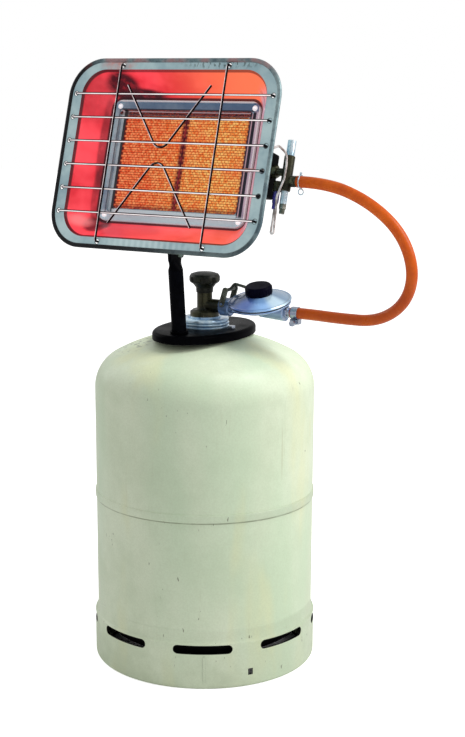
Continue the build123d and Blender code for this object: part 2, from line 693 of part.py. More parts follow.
def hose_clip():
    """Wire clip at the nozzle's end, twisted into a small eye below the hose."""
    y, z = in_head(VALVE_Y, NOZZLE_Z)
    reach = HOSE_R + CLIP_WIRE_R + AIR / 4
    ring = Torus(reach, CLIP_WIRE_R)
    eye = Rot(90, 0, 0) * Torus(3.6, CLIP_WIRE_R)
    clip = Rot(0, 90, 0) * ring + Pos(0, 0, -reach - 3.6 - CLIP_WIRE_R) * eye
    clip += Pos(0, 0, reach + 2 * CLIP_WIRE_R) * (Rot(0, 90, 0) * Torus(1.6, CLIP_WIRE_R))
    return Pos(NOZZLE_X + 5, y, z) * clip


# --- Post and tilt joint ----------------------------------------------------------------------------------
def post_axis():
    """Foot and pivot of the post, and the unit vector up it."""
    pivot_y, pivot_z = in_head(PIVOT_LOCAL_Y, PIVOT_LOCAL_Z)
    foot, pivot = Vector(0, POST_FOOT_Y, PLATE_TOP), Vector(0, pivot_y, pivot_z)
    return foot, pivot, (pivot - foot).normalized()


def post():
    """Round tube welded on the plate and pressed flat at the top round the tilt bolt."""
    foot, pivot, up = post_axis()
    frame = Plane(origin=pivot, x_dir=(1, 0, 0), z_dir=up)
    neck = -(TONGUE_R + 3)
    round_end = neck - FLATTEN_L
    flat = Rectangle(TONGUE_X, 2 * TONGUE_R)
    pressed = loft([Plane.XY.offset(round_end) * Circle(POST_R), Plane.XY.offset(neck) * flat])
    tongue = Pos(0, 0, neck / 2) * Box(TONGUE_X, 2 * TONGUE_R, -neck)
    eye = Rot(0, 90, 0) * Cylinder(TONGUE_R, TONGUE_X)
    length = (pivot - foot).length
    shaft = rod(POST_R, -length - POST_R, round_end) - rod(POST_R - POST_WALL, -length - POST_R - 1, round_end - 2)
    whole = shaft + pressed + tongue + eye - Rot(0, 90, 0) * Cylinder(TILT_BOLT_R + RUN, 4 * TONGUE_X)
    below = Pos(0, POST_FOOT_Y, PLATE_TOP - 2 * POST_R) * Box(8 * POST_R, 8 * POST_R, 4 * POST_R)
    return frame.location * whole - below


def post_collar():
    """Weld collar round the foot of the post."""
    foot, pivot, up = post_axis()
    frame = Plane(origin=foot, x_dir=(1, 0, 0), z_dir=up)
    collar = tube(POST_R + 2.2, POST_R + SEAT, -POST_R, 4)
    below = Pos(0, POST_FOOT_Y, PLATE_TOP - 2 * POST_R) * Box(8 * POST_R, 8 * POST_R, 4 * POST_R)
    return frame.location * collar - below


def ear_gap():
    """Half the distance between the bracket's ears."""
    return TONGUE_X / 2 + AIR / 2


def tilt_bracket():
    """Bracket under the burner box with two ears either side of the post's tongue."""
    top = -BOX_B - SEAT
    base = Pos(0, PIVOT_LOCAL_Y, top - EAR_T / 2) * Box(BRACKET_W, BRACKET_D, EAR_T)
    bracket = fillet(base.edges().filter_by(Axis.Z), 4)
    drop = top - PIVOT_LOCAL_Z
    for side in (-1, 1):
        x = side * (ear_gap() + EAR_T / 2)
        ear = Pos(x, PIVOT_LOCAL_Y, PIVOT_LOCAL_Z + drop / 2 - EAR_T / 4) * Box(EAR_T, 2 * EAR_R, drop - EAR_T / 2)
        bracket += ear + Pos(x, PIVOT_LOCAL_Y, PIVOT_LOCAL_Z) * (Rot(0, 90, 0) * Cylinder(EAR_R, EAR_T))
    hole = Rot(0, 90, 0) * Cylinder(TILT_BOLT_R + SEAT, 4 * (ear_gap() + EAR_T))
    return HEAD * (bracket - Pos(0, PIVOT_LOCAL_Y, PIVOT_LOCAL_Z) * hole)


def tilt_bolt():
    """Bolt through the ears and the tongue, its hexagon head on the left."""
    outer = ear_gap() + EAR_T + SEAT
    shank = along_x(rod(TILT_BOLT_R, -outer - 1, outer + 14), 0, 0, 0)
    head = along_x(hexagon(13, -outer - 5.5, -outer), 0, 0, 0)
    return HEAD * (Pos(0, PIVOT_LOCAL_Y, PIVOT_LOCAL_Z) * (shank + head))


def wing_nut():
    """Wing nut that locks the tilt."""
    start = ear_gap() + EAR_T + AIR / 2
    hub = along_x(Solid.make_cone(7.5, 5.5, 8), start, 0, 0)
    wing = Box(7, WING_T, WING_R - 4)
    wing = fillet(wing.edges().filter_by(Axis.Y), 2.5)
    for side in (-1, 1):
        hub += Pos(start + 7, 0, side * (WING_R + 4) / 2) * wing
    hub -= along_x(rod(TILT_BOLT_R + RUN, -1, 20), start, 0, 0)
    return HEAD * (Pos(0, PIVOT_LOCAL_Y, PIVOT_LOCAL_Z) * hub)


# --- Burner head ------------------------------------------------------------------------------------------
def mouth_at(y):
    """Half width, half height and corner radius of the dish's inside at a depth."""
    part = (y - FLANGE_Y) / (THROAT_Y - FLANGE_Y)
    return [m + (t - m) * part for m, t in ((MOUTH_A, THROAT_A), (MOUTH_B, THROAT_B), (MOUTH_CORNER, THROAT_CORNER))]


def dish_block(extra, back):
    """Tapering block with the outline of the dish, grown by the sheet's thickness or not."""
    a, b, c = mouth_at(back)
    near = upright(rounded(MOUTH_A + extra, MOUTH_B + extra, MOUTH_CORNER + extra), FLANGE_Y)
    far = upright(rounded(a + extra, b + extra, c + extra), back)
    return loft([near, far])


def wire_rows():
    """Heights of the horizontal guard wires."""
    return [WIRE_PITCH * (n - (WIRE_COUNT - 1) / 2) for n in range(WIRE_COUNT)]


def wire_holes():
    """Bores for the ends of the guard wires, through the flange."""
    bore = Rot(90, 0, 0) * Cylinder(WIRE_HOLE_R, 8 * SHEET)
    spots = [(s * WIRE_END_A, z) for s in (-1, 1) for z in wire_rows()]
    spots += [(s * UPRIGHT_A, t * UPRIGHT_END_B) for s in (-1, 1) for t in (-1, 1)]
    return Part() + [Pos(x, FLANGE_Y, z) * bore for x, z in spots]


def reflector_dish():
    """Pressed reflector: rolled rim, flat flange, sloping walls and the lip that carries the bezel."""
    dish = dish_block(SHEET, THROAT_Y) - dish_block(0, THROAT_Y)
    edge = RIM_BEAD_R
    flange = rounded(RIM_A - edge, RIM_B - edge, RIM_CORNER - edge) - rounded(MOUTH_A, MOUTH_B, MOUTH_CORNER)
    dish += panel(flange, FLANGE_Y, FLANGE_BACK)
    lip = rounded(THROAT_A + SHEET, THROAT_B + SHEET, THROAT_CORNER + SHEET)
    lip -= rounded(WINDOW_A + SURROUND_A + 2, WINDOW_B + SURROUND_B + 2, SURROUND_CORNER + 2)
    dish += panel(lip, THROAT_Y, LIP_BACK)
    outline = upright(rounded(RIM_A - edge, RIM_B - edge, RIM_CORNER - edge), FLANGE_Y + SHEET / 2)
    dish += wire_along(outline.face().outer_wire(), RIM_BEAD_R)
    dish -= wire_holes()
    for x in (-SCREW_A, SCREW_A):
        for z in (-SCREW_B, SCREW_B):
            dish -= Pos(x, THROAT_Y, z) * (Rot(90, 0, 0) * Cylinder(SCREW_R + SEAT, 6))
    tip, end = probe_ends()
    dish -= along_x(rod(PROBE_R + SEAT, 0, 2 * (end - tip)), tip, PROBE_Y, PROBE_Z)
    return HEAD * dish


def burner_bezel():
    """Frame round the plaques: raised outer edge, flat band, a wall and a recessed edge round the window."""
    a, b, c = THROAT_A - BEZEL_GAP, THROAT_B - BEZEL_GAP, THROAT_CORNER - BEZEL_GAP
    back = THROAT_Y - SEAT
    front = back - BEZEL_T
    window = rounded(WINDOW_A, WINDOW_B, WINDOW_CORNER)
    room = rounded(WINDOW_A + SURROUND_A, WINDOW_B + SURROUND_B, SURROUND_CORNER)
    outside = rounded(WINDOW_A + SURROUND_A + 1, WINDOW_B + SURROUND_B + 1, SURROUND_CORNER + 1)
    band = panel(rounded(a, b, c) - room, front, back)
    rim = rounded(a, b, c) - rounded(a - BEZEL_LIP_T, b - BEZEL_LIP_T, c - BEZEL_LIP_T)
    raised = panel(rim, front - BEZEL_LIP, back)
    raised = fillet(raised.edges().group_by(Axis.Y)[0], 0.7)
    wall = panel(outside - room, front, THROAT_Y + TUNNEL_L)
    surround = panel(outside - window, THROAT_Y + TUNNEL_L - SURROUND_T, THROAT_Y + TUNNEL_L)
    bezel = band + raised + wall + surround
    for x in (-SCREW_A, SCREW_A):
        for z in (-SCREW_B, SCREW_B):
            bezel -= Pos(x, front, z) * (Rot(90, 0, 0) * Cylinder(SCREW_R + SEAT, 8))
    return HEAD * bezel


def bezel_screws():
    """Four pan-head screws that hold bezel, dish and burner box together."""
    front = THROAT_Y - SEAT - BEZEL_T
    screws = []
    for x in (-SCREW_A, SCREW_A):
        for z in (-SCREW_B, SCREW_B):
            head = turned([(0, 0), (SCREW_HEAD_R, 0), (SCREW_HEAD_R, 0.9), (SCREW_HEAD_R - 1.2, 2), (0, 2.2)])
            shank = rod(SCREW_R, front - BOX_FLANGE_BACK - 2, 0.5)
            slot = Pos(0, 0, 2.2) * Box(2 * SCREW_HEAD_R, 0.9, 1.6)
            screws.append(Pos(x, front - SEAT, z) * (Rot(90, 0, 0) * (head + shank - slot)))
    return HEAD * (Part() + screws)


def plaque(side):
    """One ceramic burner plaque, its face pitted in rows."""
    width = PLAQUE_A - PLAQUE_JOINT / 2
    middle = side * (PLAQUE_JOINT / 2 + width / 2)
    block = Pos(middle, (PLAQUE_FRONT + PLAQUE_BACK) / 2, 0) * Box(width, PLAQUE_T, 2 * PLAQUE_B)
    across, up = int(width / DIMPLE_PITCH), int(2 * PLAQUE_B / DIMPLE_PITCH)
    pit = Rot(90, 0, 0) * extrude(Rectangle(DIMPLE_PITCH / 2, DIMPLE_PITCH / 2), 1.5, both=True)
    for column in range(across):
        for row in range(up):
            x = middle + (column - (across - 1) / 2) * DIMPLE_PITCH
            z = (row - (up - 1) / 2) * DIMPLE_PITCH
            block -= Pos(x, PLAQUE_FRONT, z) * pit
    return HEAD * block


def plaque_gasket():
    """Ceramic fibre packing round the plaques and in the joint between them."""
    frame = rounded(BOX_A - SHEET - AIR, BOX_B - SHEET - AIR, BOX_TAB_CORNER)
    frame -= Rectangle(2 * (PLAQUE_A + SEAT), 2 * (PLAQUE_B + SEAT))
    packing = panel(frame, PLAQUE_FRONT, PLAQUE_BACK)
    joint = Rectangle(PLAQUE_JOINT - 2 * SEAT, 2 * PLAQUE_B + 4)
    return HEAD * (packing + panel(joint, PLAQUE_FRONT, PLAQUE_BACK))


def burner_box():
    """Plenum behind the plaques: a pan with a front flange, a shelf and a hole for the mixing tube."""
    flange = rounded(THROAT_A, THROAT_B, THROAT_CORNER)
    flange -= rounded(BOX_A - SHEET, BOX_B - SHEET, BOX_TAB_CORNER)
    front = LIP_BACK + SEAT
    outer, inner = rounded(BOX_A, BOX_B, BOX_CORNER), rounded(BOX_A - SHEET, BOX_B - SHEET, BOX_CORNER - SHEET)
    box = panel(flange, front, BOX_FLANGE_BACK) + panel(outer - inner, front, BOX_BACK)
    box += panel(outer, BOX_BACK - SHEET, BOX_BACK)
    shelf = inner - rounded(BOX_A - SHEET - SHELF_W, BOX_B - SHEET - SHELF_W, BOX_CORNER / 2)
    box += panel(shelf, PLAQUE_BACK + SEAT, PLAQUE_BACK + SEAT + SHEET)
    for z in (-BOX_B / 2, BOX_B / 2):
        rib = Pos(0, BOX_BACK, z) * (Rot(0, 90, 0) * Cylinder(4, 2 * BOX_A - 40))
        box += rib - Pos(0, BOX_BACK - 10, z) * Box(2 * BOX_A, 20 - SHEET, 20)
    box -= along_x(rod(VENTURI_R + SEAT, 0, 40), BOX_A - 20, VALVE_Y, SPIGOT_Z)
    for x in (-SCREW_A, SCREW_A):
        for z in (-SCREW_B, SCREW_B):
            box -= Pos(x, front, z) * (Rot(90, 0, 0) * Cylinder(SCREW_R + SEAT, 8))
    return HEAD * box


def mixing_tube():
    """Mixing tube along the plenum, with its bell mouth facing the injector."""
    start = BOX_A + VENTURI_MOUTH_L
    path = tube(VENTURI_R, VENTURI_R - SHEET, -VENTURI_L, -VENTURI_MOUTH_L)
    bell = turned([
        (VENTURI_R - SHEET, -VENTURI_MOUTH_L), (VENTURI_R, -VENTURI_MOUTH_L), (VENTURI_MOUTH_R, 0),
        (VENTURI_MOUTH_R - SHEET, 0)])
    return HEAD * along_x(path + bell, start, VALVE_Y, SPIGOT_Z)


# --- Wire guard -------------------------------------------------------------------------------------------
def hooked_wire(start, end, back):
    """Straight wire whose two ends turn back through the flange."""
    a, b = Vector(*start), Vector(*end)
    drop = Vector(0, back, 0)
    return wire_along(FilletPolyline(a + drop, a, b, b + drop, radius=2.2 * WIRE_R), WIRE_R)


def guard_horizontals():
    """Horizontal wires across the mouth."""
    back = FLANGE_BACK + 3 - WIRE_Y
    return HEAD * (Part() + [hooked_wire((-WIRE_END_A, WIRE_Y, z), (WIRE_END_A, WIRE_Y, z), back)
                             for z in wire_rows()])


def guard_uprights():
    """Two upright wires in front of the horizontal ones."""
    y = WIRE_Y - 2 * WIRE_R - SEAT
    back = FLANGE_BACK + 3 - y
    return HEAD * (Part() + [hooked_wire((x, y, -UPRIGHT_END_B), (x, y, UPRIGHT_END_B), back)
                             for x in (-UPRIGHT_A, UPRIGHT_A)])


def guard_vees():
    """Two V wires welded behind the horizontal ones, point to point."""
    y = WIRE_Y + 2 * WIRE_R + SEAT
    wires = []
    for side in (1, -1):
        points = [(VEE_X - VEE_HALF, y, side * VEE_END_B), (VEE_X, y, side * VEE_POINT_B),
                  (VEE_X + VEE_HALF, y, side * VEE_END_B)]
        wires.append(wire_along(FilletPolyline(*points, radius=VEE_BEND_R), WIRE_R))
    return HEAD * (Part() + wires)


# --- Flame failure valve ----------------------------------------------------------------------------------
def valve_mount():
    """Black plate on two legs beside the burner box, carrying the injector in front of the mixing tube."""
    leg_x = (BOX_A + MOUNT_X) / 2 + SEAT
    leg = Box(MOUNT_X - BOX_A, MOUNT_D, MOUNT_T)
    web = Pos(MOUNT_X, VALVE_Y, (MOUNT_HIGH + MOUNT_LOW) / 2) * Box(MOUNT_T, MOUNT_D, MOUNT_HIGH - MOUNT_LOW)
    mount = web
    for z, out in ((MOUNT_HIGH - MOUNT_T / 2, 1), (MOUNT_LOW + MOUNT_T / 2, -1)):
        mount += Pos(leg_x, VALVE_Y, z) * leg
        foot = Box(MOUNT_T, MOUNT_D, 12)
        mount += Pos(BOX_A + SEAT + MOUNT_T / 2, VALVE_Y, z + out * 5) * foot
    edges = mount.edges().filter_by(Axis.Y).group_by(Axis.X)[-1]
    mount = fillet(edges, 3)
    return HEAD * (mount - along_x(rod(INJECTOR_R + SEAT, -20, 20), MOUNT_X, VALVE_Y, SPIGOT_Z))


def injector_end():
    """X of the injector's end, where the safety valve's spigot begins."""
    return MOUNT_X + MOUNT_T / 2 + INJECTOR_NUT_L


def injector():
    """Brass injector through the plate, on the mixing tube's axis."""
    nose = MOUNT_X - INJECTOR_NOSE
    piece = rod(INJECTOR_R, 0, injector_end() - nose)
    piece += hexagon(INJECTOR_NUT_AF, MOUNT_X + MOUNT_T / 2 + SEAT - nose, injector_end() - nose)
    piece += Pos(0, 0, -3) * Solid.make_cone(2.2, INJECTOR_R - 1, 3)
    return HEAD * along_x(piece, nose, VALVE_Y, SPIGOT_Z)


def safety_valve_body():
    """Flame failure valve: an upright barrel with a spigot, a side boss and the bore for the push button."""
    body = Pos(VALVE_X, VALVE_Y, 0) * turned([
        (0, VALVE_LOW), (VALVE_R - 1, VALVE_LOW), (VALVE_R, VALVE_LOW + 1), (VALVE_R, VALVE_HIGH - 1),
        (VALVE_R - 1, VALVE_HIGH), (0, VALVE_HIGH)])
    spigot_start = injector_end() + SEAT
    body += along_x(rod(SPIGOT_R, 0, VALVE_X - spigot_start), spigot_start, VALVE_Y, SPIGOT_Z)
    body += Pos(TERMINAL_X, VALVE_Y, 0) * rod(TERMINAL_R + 1.2, TERMINAL_HIGH, TERMINAL_HIGH + 13)
    body += Pos((TERMINAL_X + VALVE_X) / 2, VALVE_Y, TERMINAL_HIGH + 8.5) * Box(VALVE_X - TERMINAL_X, 8, 9)
    body += along_x(rod(NOZZLE_R - 1.5, 0, VALVE_R + 1), VALVE_X, VALVE_Y, NOZZLE_Z)
    bore = rod(BUTTON_R + RUN, button_low() - SPRING_ROOM, VALVE_HIGH + 1)
    return HEAD * (body - Pos(VALVE_X, VALVE_Y, 0) * bore)


def button_low():
    """Lowest point of the push button at rest."""
    return VALVE_HIGH - BUTTON_STEM


def push_button():
    """Push button that slides in the barrel."""
    button = rod(BUTTON_R, button_low(), BUTTON_TOP)
    button = fillet(button.edges().filter_by(GeomType.CIRCLE), 0.8)
    return HEAD * (Pos(VALVE_X, VALVE_Y, 0) * button)


def button_spring():
    """Coil spring under the push button."""
    low = button_low() - SPRING_ROOM + SPRING_WIRE_R + SEAT
    height = SPRING_ROOM - 2 * SPRING_WIRE_R - 2 * SEAT
    radius = BUTTON_R - 2 * SPRING_WIRE_R
    coil = Helix(height / SPRING_TURNS, height, radius)
    wire = sweep(Plane(origin=coil @ 0, z_dir=coil % 0) * Circle(SPRING_WIRE_R), path=coil, is_frenet=True)
    return HEAD * (Pos(VALVE_X, VALVE_Y, low) * wire)


def hose_nozzle():
    """Hexagon nozzle on the barrel that the hose is pushed on."""
    start = VALVE_X + VALVE_R + 1 + SEAT
    nozzle = hexagon(2 * NOZZLE_R - 1, 0, NOZZLE_X - start - 2) + rod(NOZZLE_R, NOZZLE_X - start - 2.5, NOZZLE_X - start)
    return HEAD * along_x(nozzle, start, VALVE_Y, NOZZLE_Z)


def magnet_unit():
    """Plated housing of the holding magnet below the barrel."""
    return HEAD * (Pos(VALVE_X, VALVE_Y, 0) * rod(MAGNET_R, MAGNET_LOW, VALVE_LOW - SEAT))


def test_nut():
    """Brass nut that closes the magnet's housing."""
    middle = (TEST_NUT_LOW + MAGNET_LOW) / 2
    nut = hexagon(TEST_NUT_AF, middle, MAGNET_LOW - SEAT) + rod(TEST_NUT_AF / 2 - 0.8, TEST_NUT_LOW, middle + 1)
    return HEAD * (Pos(VALVE_X, VALVE_Y, 0) * nut)


def terminal_nut():
    """Dark nut that holds the end of the thermocouple's lead under the side boss."""
    nut = rod(TERMINAL_R, TERMINAL_LOW + 8, TERMINAL_HIGH - SEAT)
    nut += rod(TERMINAL_R - 0.8, TERMINAL_LOW, TERMINAL_LOW + 9)
    return HEAD * (Pos(TERMINAL_X, VALVE_Y, 0) * nut)


def probe_ends():
    """X of the probe's tip inside the dish and of its end outside."""
    wall = mouth_at(PROBE_Y)[0]
    return wall - PROBE_REACH, wall + PROBE_TAIL


def thermocouple():
    """Probe whose rounded tip stands in the dish beside the plaques, with its fixing nut outside the wall."""
    tip, end = probe_ends()
    probe = rod(PROBE_R, 0, end - tip)
    probe = fillet(probe.edges().filter_by(GeomType.CIRCLE).group_by(Axis.Z)[0], PROBE_R * 0.8)
    probe += hexagon(PROBE_NUT_AF, end - tip - PROBE_NUT_T, end - tip)
    return HEAD * along_x(probe, tip, PROBE_Y, PROBE_Z)


def thermocouple_lead():
    """Copper capillary from the probe over the barrel and down to the terminal nut, in a tight hairpin."""
    end = probe_ends()[1]
    front = VALVE_Y - VALVE_R - LEAD_R - 1
    down = VALVE_X - MAGNET_R - LEAD_R - AIR
    points = [
        (end + SEAT, PROBE_Y, PROBE_Z),
        (end + 8, PROBE_Y, PROBE_Z),
        (end + 9, PROBE_Y + 6, VALVE_HIGH - 2),
        (VALVE_X - 3, VALVE_Y - LEAD_ROOM, VALVE_HIGH + LEAD_OVER),
        (VALVE_X + 1, front - 2, VALVE_HIGH),
        (VALVE_X + 1.5, front, VALVE_HIGH - 14),
        (VALVE_X + 1.5, front, NOZZLE_Z + 2),
        (down, front + 1, MAGNET_LOW + 8),
        (down - 1, VALVE_Y - 3, TERMINAL_LOW - 4),
        (down - 0.5, VALVE_Y - 1, LEAD_LOW),
        (TERMINAL_X, VALVE_Y, LEAD_LOW),
        (TERMINAL_X, VALVE_Y, TERMINAL_LOW - SEAT),
    ]
    radii = [min(r, 9.0) for r in corner_radii(points)]
    return HEAD * wire_along(FilletPolyline(*points, radius=radii), LEAD_R)


PIECES = {
    "cylinder_upper_shell": cylinder_upper_shell,
    "cylinder_lower_shell": cylinder_lower_shell,
    "cylinder_seam_weld": seam_weld,
    "foot_ring": foot_ring,
    "neck_boss": neck_boss,
    "plate_pad": plate_pad,
    "base_plate": base_plate,
    "plate_studs": plate_studs,
    "clamp_ring": clamp_ring,
    "valve_body": valve_body,
    "valve_gland": valve_gland,
    "valve_spindle": valve_spindle,
    "valve_plug": valve_plug,
    "handwheel": handwheel,
    "regulator_coupling": regulator_coupling,
    "regulator_body": regulator_body,
    "regulator_diaphragm": regulator_diaphragm,
    "regulator_cover": regulator_cover,
    "regulator_cap": regulator_cap,
    "regulator_spout": regulator_spout,
    "coupling_lever": coupling_lever,
    "hose": hose,
    "hose_band": hose_band,
    "hose_clip": hose_clip,
    "post": post,
    "post_collar": post_collar,
    "tilt_bracket": tilt_bracket,
    "tilt_bolt": tilt_bolt,
    "wing_nut": wing_nut,
    "reflector_dish": reflector_dish,
    "burner_bezel": burner_bezel,
    "bezel_screws": bezel_screws,
    "plaque_left": lambda: plaque(-1),
    "plaque_right": lambda: plaque(1),
    "plaque_gasket": plaque_gasket,
    "burner_box": burner_box,
    "mixing_tube": mixing_tube,
    "guard_horizontals": guard_horizontals,
    "guard_uprights": guard_uprights,
    "guard_vees": guard_vees,
    "valve_mount": valve_mount,
    "injector": injector,
    "safety_valve_body": safety_valve_body,
    "push_button": push_button,
    "button_spring": button_spring,
    "hose_nozzle": hose_nozzle,
    "magnet_unit": magnet_unit,
    "test_nut": test_nut,
    "terminal_nut": terminal_nut,
    "thermocouple": thermocouple,
    "thermocouple_lead": thermocouple_lead,
}

for name, make in PIECES.items():
    export_step(make(), f"parts/{name}.step")
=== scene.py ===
"""Visual model of a portable infrared gas heater that stands on its gas cylinder.

Sizes in the sub-assemblies are millimetres and become metres when a mesh is finished. Places in the finishes
are metres. The burner head's pieces are made upright about the middle of the reflector's mouth and are then
tilted back and lifted, as the frame's are.
"""

from __future__ import annotations

import json
import logging
import math
from dataclasses import dataclass, field
from enum import Enum
from functools import reduce
from typing import Any, Callable, Iterable, Sequence

import bmesh
import bpy
from mathutils import Matrix, Vector

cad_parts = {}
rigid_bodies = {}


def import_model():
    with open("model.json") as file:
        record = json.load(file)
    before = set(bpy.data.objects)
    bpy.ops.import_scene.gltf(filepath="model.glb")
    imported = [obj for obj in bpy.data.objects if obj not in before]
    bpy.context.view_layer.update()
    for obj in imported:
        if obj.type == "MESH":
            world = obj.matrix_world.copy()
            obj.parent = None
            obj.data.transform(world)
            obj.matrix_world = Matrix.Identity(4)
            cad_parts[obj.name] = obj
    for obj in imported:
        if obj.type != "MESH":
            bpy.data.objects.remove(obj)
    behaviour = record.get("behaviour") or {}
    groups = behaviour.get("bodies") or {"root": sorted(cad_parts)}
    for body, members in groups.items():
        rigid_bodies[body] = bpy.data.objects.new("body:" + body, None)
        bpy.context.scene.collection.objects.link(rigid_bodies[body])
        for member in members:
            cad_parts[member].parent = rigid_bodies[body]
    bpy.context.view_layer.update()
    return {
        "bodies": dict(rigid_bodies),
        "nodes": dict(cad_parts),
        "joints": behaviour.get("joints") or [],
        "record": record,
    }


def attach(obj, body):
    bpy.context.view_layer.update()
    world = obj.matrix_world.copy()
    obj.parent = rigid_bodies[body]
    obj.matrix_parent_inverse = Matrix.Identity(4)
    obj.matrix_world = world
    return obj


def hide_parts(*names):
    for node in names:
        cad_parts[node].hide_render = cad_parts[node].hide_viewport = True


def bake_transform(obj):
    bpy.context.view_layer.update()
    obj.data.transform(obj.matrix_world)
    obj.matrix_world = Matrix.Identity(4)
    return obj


Colour = tuple[float, float, float, float]
Point = tuple[float, float, float]

LOG = logging.getLogger("heater")
MM = 0.001
TO_METRES = Matrix.Scale(MM, 4)
HEAD_ORIGIN = Vector((0.0, -0.113, 0.712))
HEAD_TILT = math.radians(17.0)
HEAD_PLACE = Matrix.Translation(HEAD_ORIGIN) @ Matrix.Rotation(-HEAD_TILT, 4, "X") @ TO_METRES
BREAK_ANGLE = 34.0
FORWARD = -0.9
WHITE = (1.0, 1.0, 1.0, 1.0)
UNLIT = (0.0, 0.0, 0.0, 1.0)


def srgb(red: float, green: float, blue: float) -> Colour:
    """Linear colour of a screen colour.

    Args:
        red: Red from 0 to 255.
        green: Green from 0 to 255.
        blue: Blue from 0 to 255.

    Returns:
        The linear colour with an alpha of 1.
    """
    parts = [value / 255.0 for value in (red, green, blue)]
    linear = [p / 12.92 if p <= 0.04045 else ((p + 0.055) / 1.055) ** 2.4 for p in parts]
    return (linear[0], linear[1], linear[2], 1.0)


class Body(Enum):
    """Bodies of the frame that pieces ride on."""

    ROOT = "root"
    HEAD = "head"
    HANDWHEEL = "handwheel"
    PLUG = "plug"
    LEVER = "lever"
    WING_NUT = "wing_nut"
    BUTTON = "button"


# --- Shader sheets ----------------------------------------------------------------------------------------


class Sheet:
    """A node tree with short calls to add nodes and link them."""

    def __init__(self, owner: Any, tree: bpy.types.NodeTree | None = None) -> None:
        """Clear the tree of a material or world, or keep a group's tree as it is."""
        if tree is None:
            owner.use_nodes = True
            tree = owner.node_tree
            tree.nodes.clear()
        self.tree = tree

    def add(self, kind: str, sockets: dict[Any, Any] | None = None, **settings: Any) -> bpy.types.Node:
        """Add a node.

        Args:
            kind: Node type without its ShaderNode prefix, or the full name of a group's end.
            sockets: Input name or number to a value or to the output that feeds it.
            **settings: Properties of the node.

        Returns:
            The new node.
        """
        node = self.tree.nodes.new(kind if kind.startswith("NodeGroup") else "ShaderNode" + kind)
        for key, value in settings.items():
            setattr(node, key, value)
        for key, value in (sockets or {}).items():
            if isinstance(value, bpy.types.NodeSocket):
                self.tree.links.new(value, node.inputs[key])
            else:
                node.inputs[key].default_value = value
        return node

    def own(self) -> Any:
        """Object coordinates."""
        return self.add("TexCoord").outputs["Object"]

    def on_head(self) -> tuple[Any, Any, Any, Any]:
        """Coordinates in the burner head's own upright frame, in metres, and their X, Y and Z."""
        turned = Matrix.Rotation(HEAD_TILT, 4, "X") @ HEAD_ORIGIN
        vector = self.place(self.own(), tuple(-turned), (HEAD_TILT, 0.0, 0.0))
        return (vector, *self.split(vector))

    def place(self, vector: Any, location: Sequence[float] = (0, 0, 0), rotation: Sequence[float] = (0, 0, 0),
              scale: Sequence[float] = (1, 1, 1)) -> Any:
        """Vector scaled, turned and moved by a mapping node."""
        sockets = {"Vector": vector, "Location": location, "Rotation": rotation, "Scale": scale}
        return self.add("Mapping", sockets).outputs[0]

    def split(self, vector: Any) -> tuple[Any, Any, Any]:
        """X, Y and Z of a vector."""
        return tuple(self.add("SeparateXYZ", {0: vector}).outputs)

    def length(self, vector: Any) -> Any:
        """Length of a vector."""
        return self.add("VectorMath", {0: vector}, operation="LENGTH").outputs[1]

    def maths(self, operation: str, first: Any, second: Any = 0.0) -> Any:
        """Result of a math node."""
        return self.add("Math", {0: first, 1: second}, operation=operation).outputs[0]

    def times(self, *values: Any) -> Any:
        """Product of masks and numbers."""
        return reduce(lambda first, second: self.maths("MULTIPLY", first, second), values)

    def most(self, *values: Any) -> Any:
        """Largest of several masks."""
        return reduce(lambda first, second: self.maths("MAXIMUM", first, second), values)

    def ramp(self, value: Any, low: float, high: float, start: float = 0.0, end: float = 1.0) -> Any:
        """Value mapped smoothly and clamped from one range to another."""
        sockets = {"Value": value, "From Min": low, "From Max": high, "To Min": start, "To Max": end}
        return self.add("MapRange", sockets, interpolation_type="SMOOTHSTEP").outputs["Result"]

    def near(self, value: Any, middle: float, low: float, high: float) -> Any:
        """Ramp of a value's distance from a middle."""
        away = self.maths("SUBTRACT", value, middle) if middle else value
        return self.ramp(self.maths("ABSOLUTE", away), low, high)

    def noise(self, vector: Any, scale: Any, detail: float = 3.0, roughness: float = 0.55) -> Any:
        """Noise value from 0 to 1 on a vector."""
        sockets = {"Vector": vector, "Scale": scale, "Detail": detail, "Roughness": roughness}
        return self.add("TexNoise", sockets).outputs["Fac"]

    def patches(self, vector: Any, scale: Any, detail: float, low: float, high: float, start: float = 0.0,
                end: float = 1.0, roughness: float = 0.55) -> Any:
        """Noise on a vector, ramped into soft patches."""
        return self.ramp(self.noise(vector, scale, detail, roughness), low, high, start, end)

    def blob(self, vector: Any, centre: Point, size: Point) -> Any:
        """Soft mask round a centre, 1 in the middle and 0 beyond its reach along each axis."""
        moved = self.add("VectorMath", {0: vector, 1: centre}, operation="SUBTRACT").outputs[0]
        near = self.add("VectorMath", {0: moved, 1: size}, operation="DIVIDE").outputs[0]
        return self.ramp(self.length(near), 1.0, 0.25)

    def mix(self, factor: Any, first: Any, second: Any) -> Any:
        """Mix of two colours."""
        return self.add("Mix", {0: factor, 6: first, 7: second}, data_type="RGBA").outputs[2]

    def cover(self, colour: Any, *layers: tuple[Any, float, Any]) -> Any:
        """Lay tints over a colour.

        Args:
            colour: Colour underneath.
            *layers: Mask, strength and tint of each layer, the lowest first.

        Returns:
            The covered colour.
        """
        for mask, strength, tint in layers:
            colour = self.mix(mask if strength == 1.0 else self.times(mask, strength), colour, tint)
        return colour


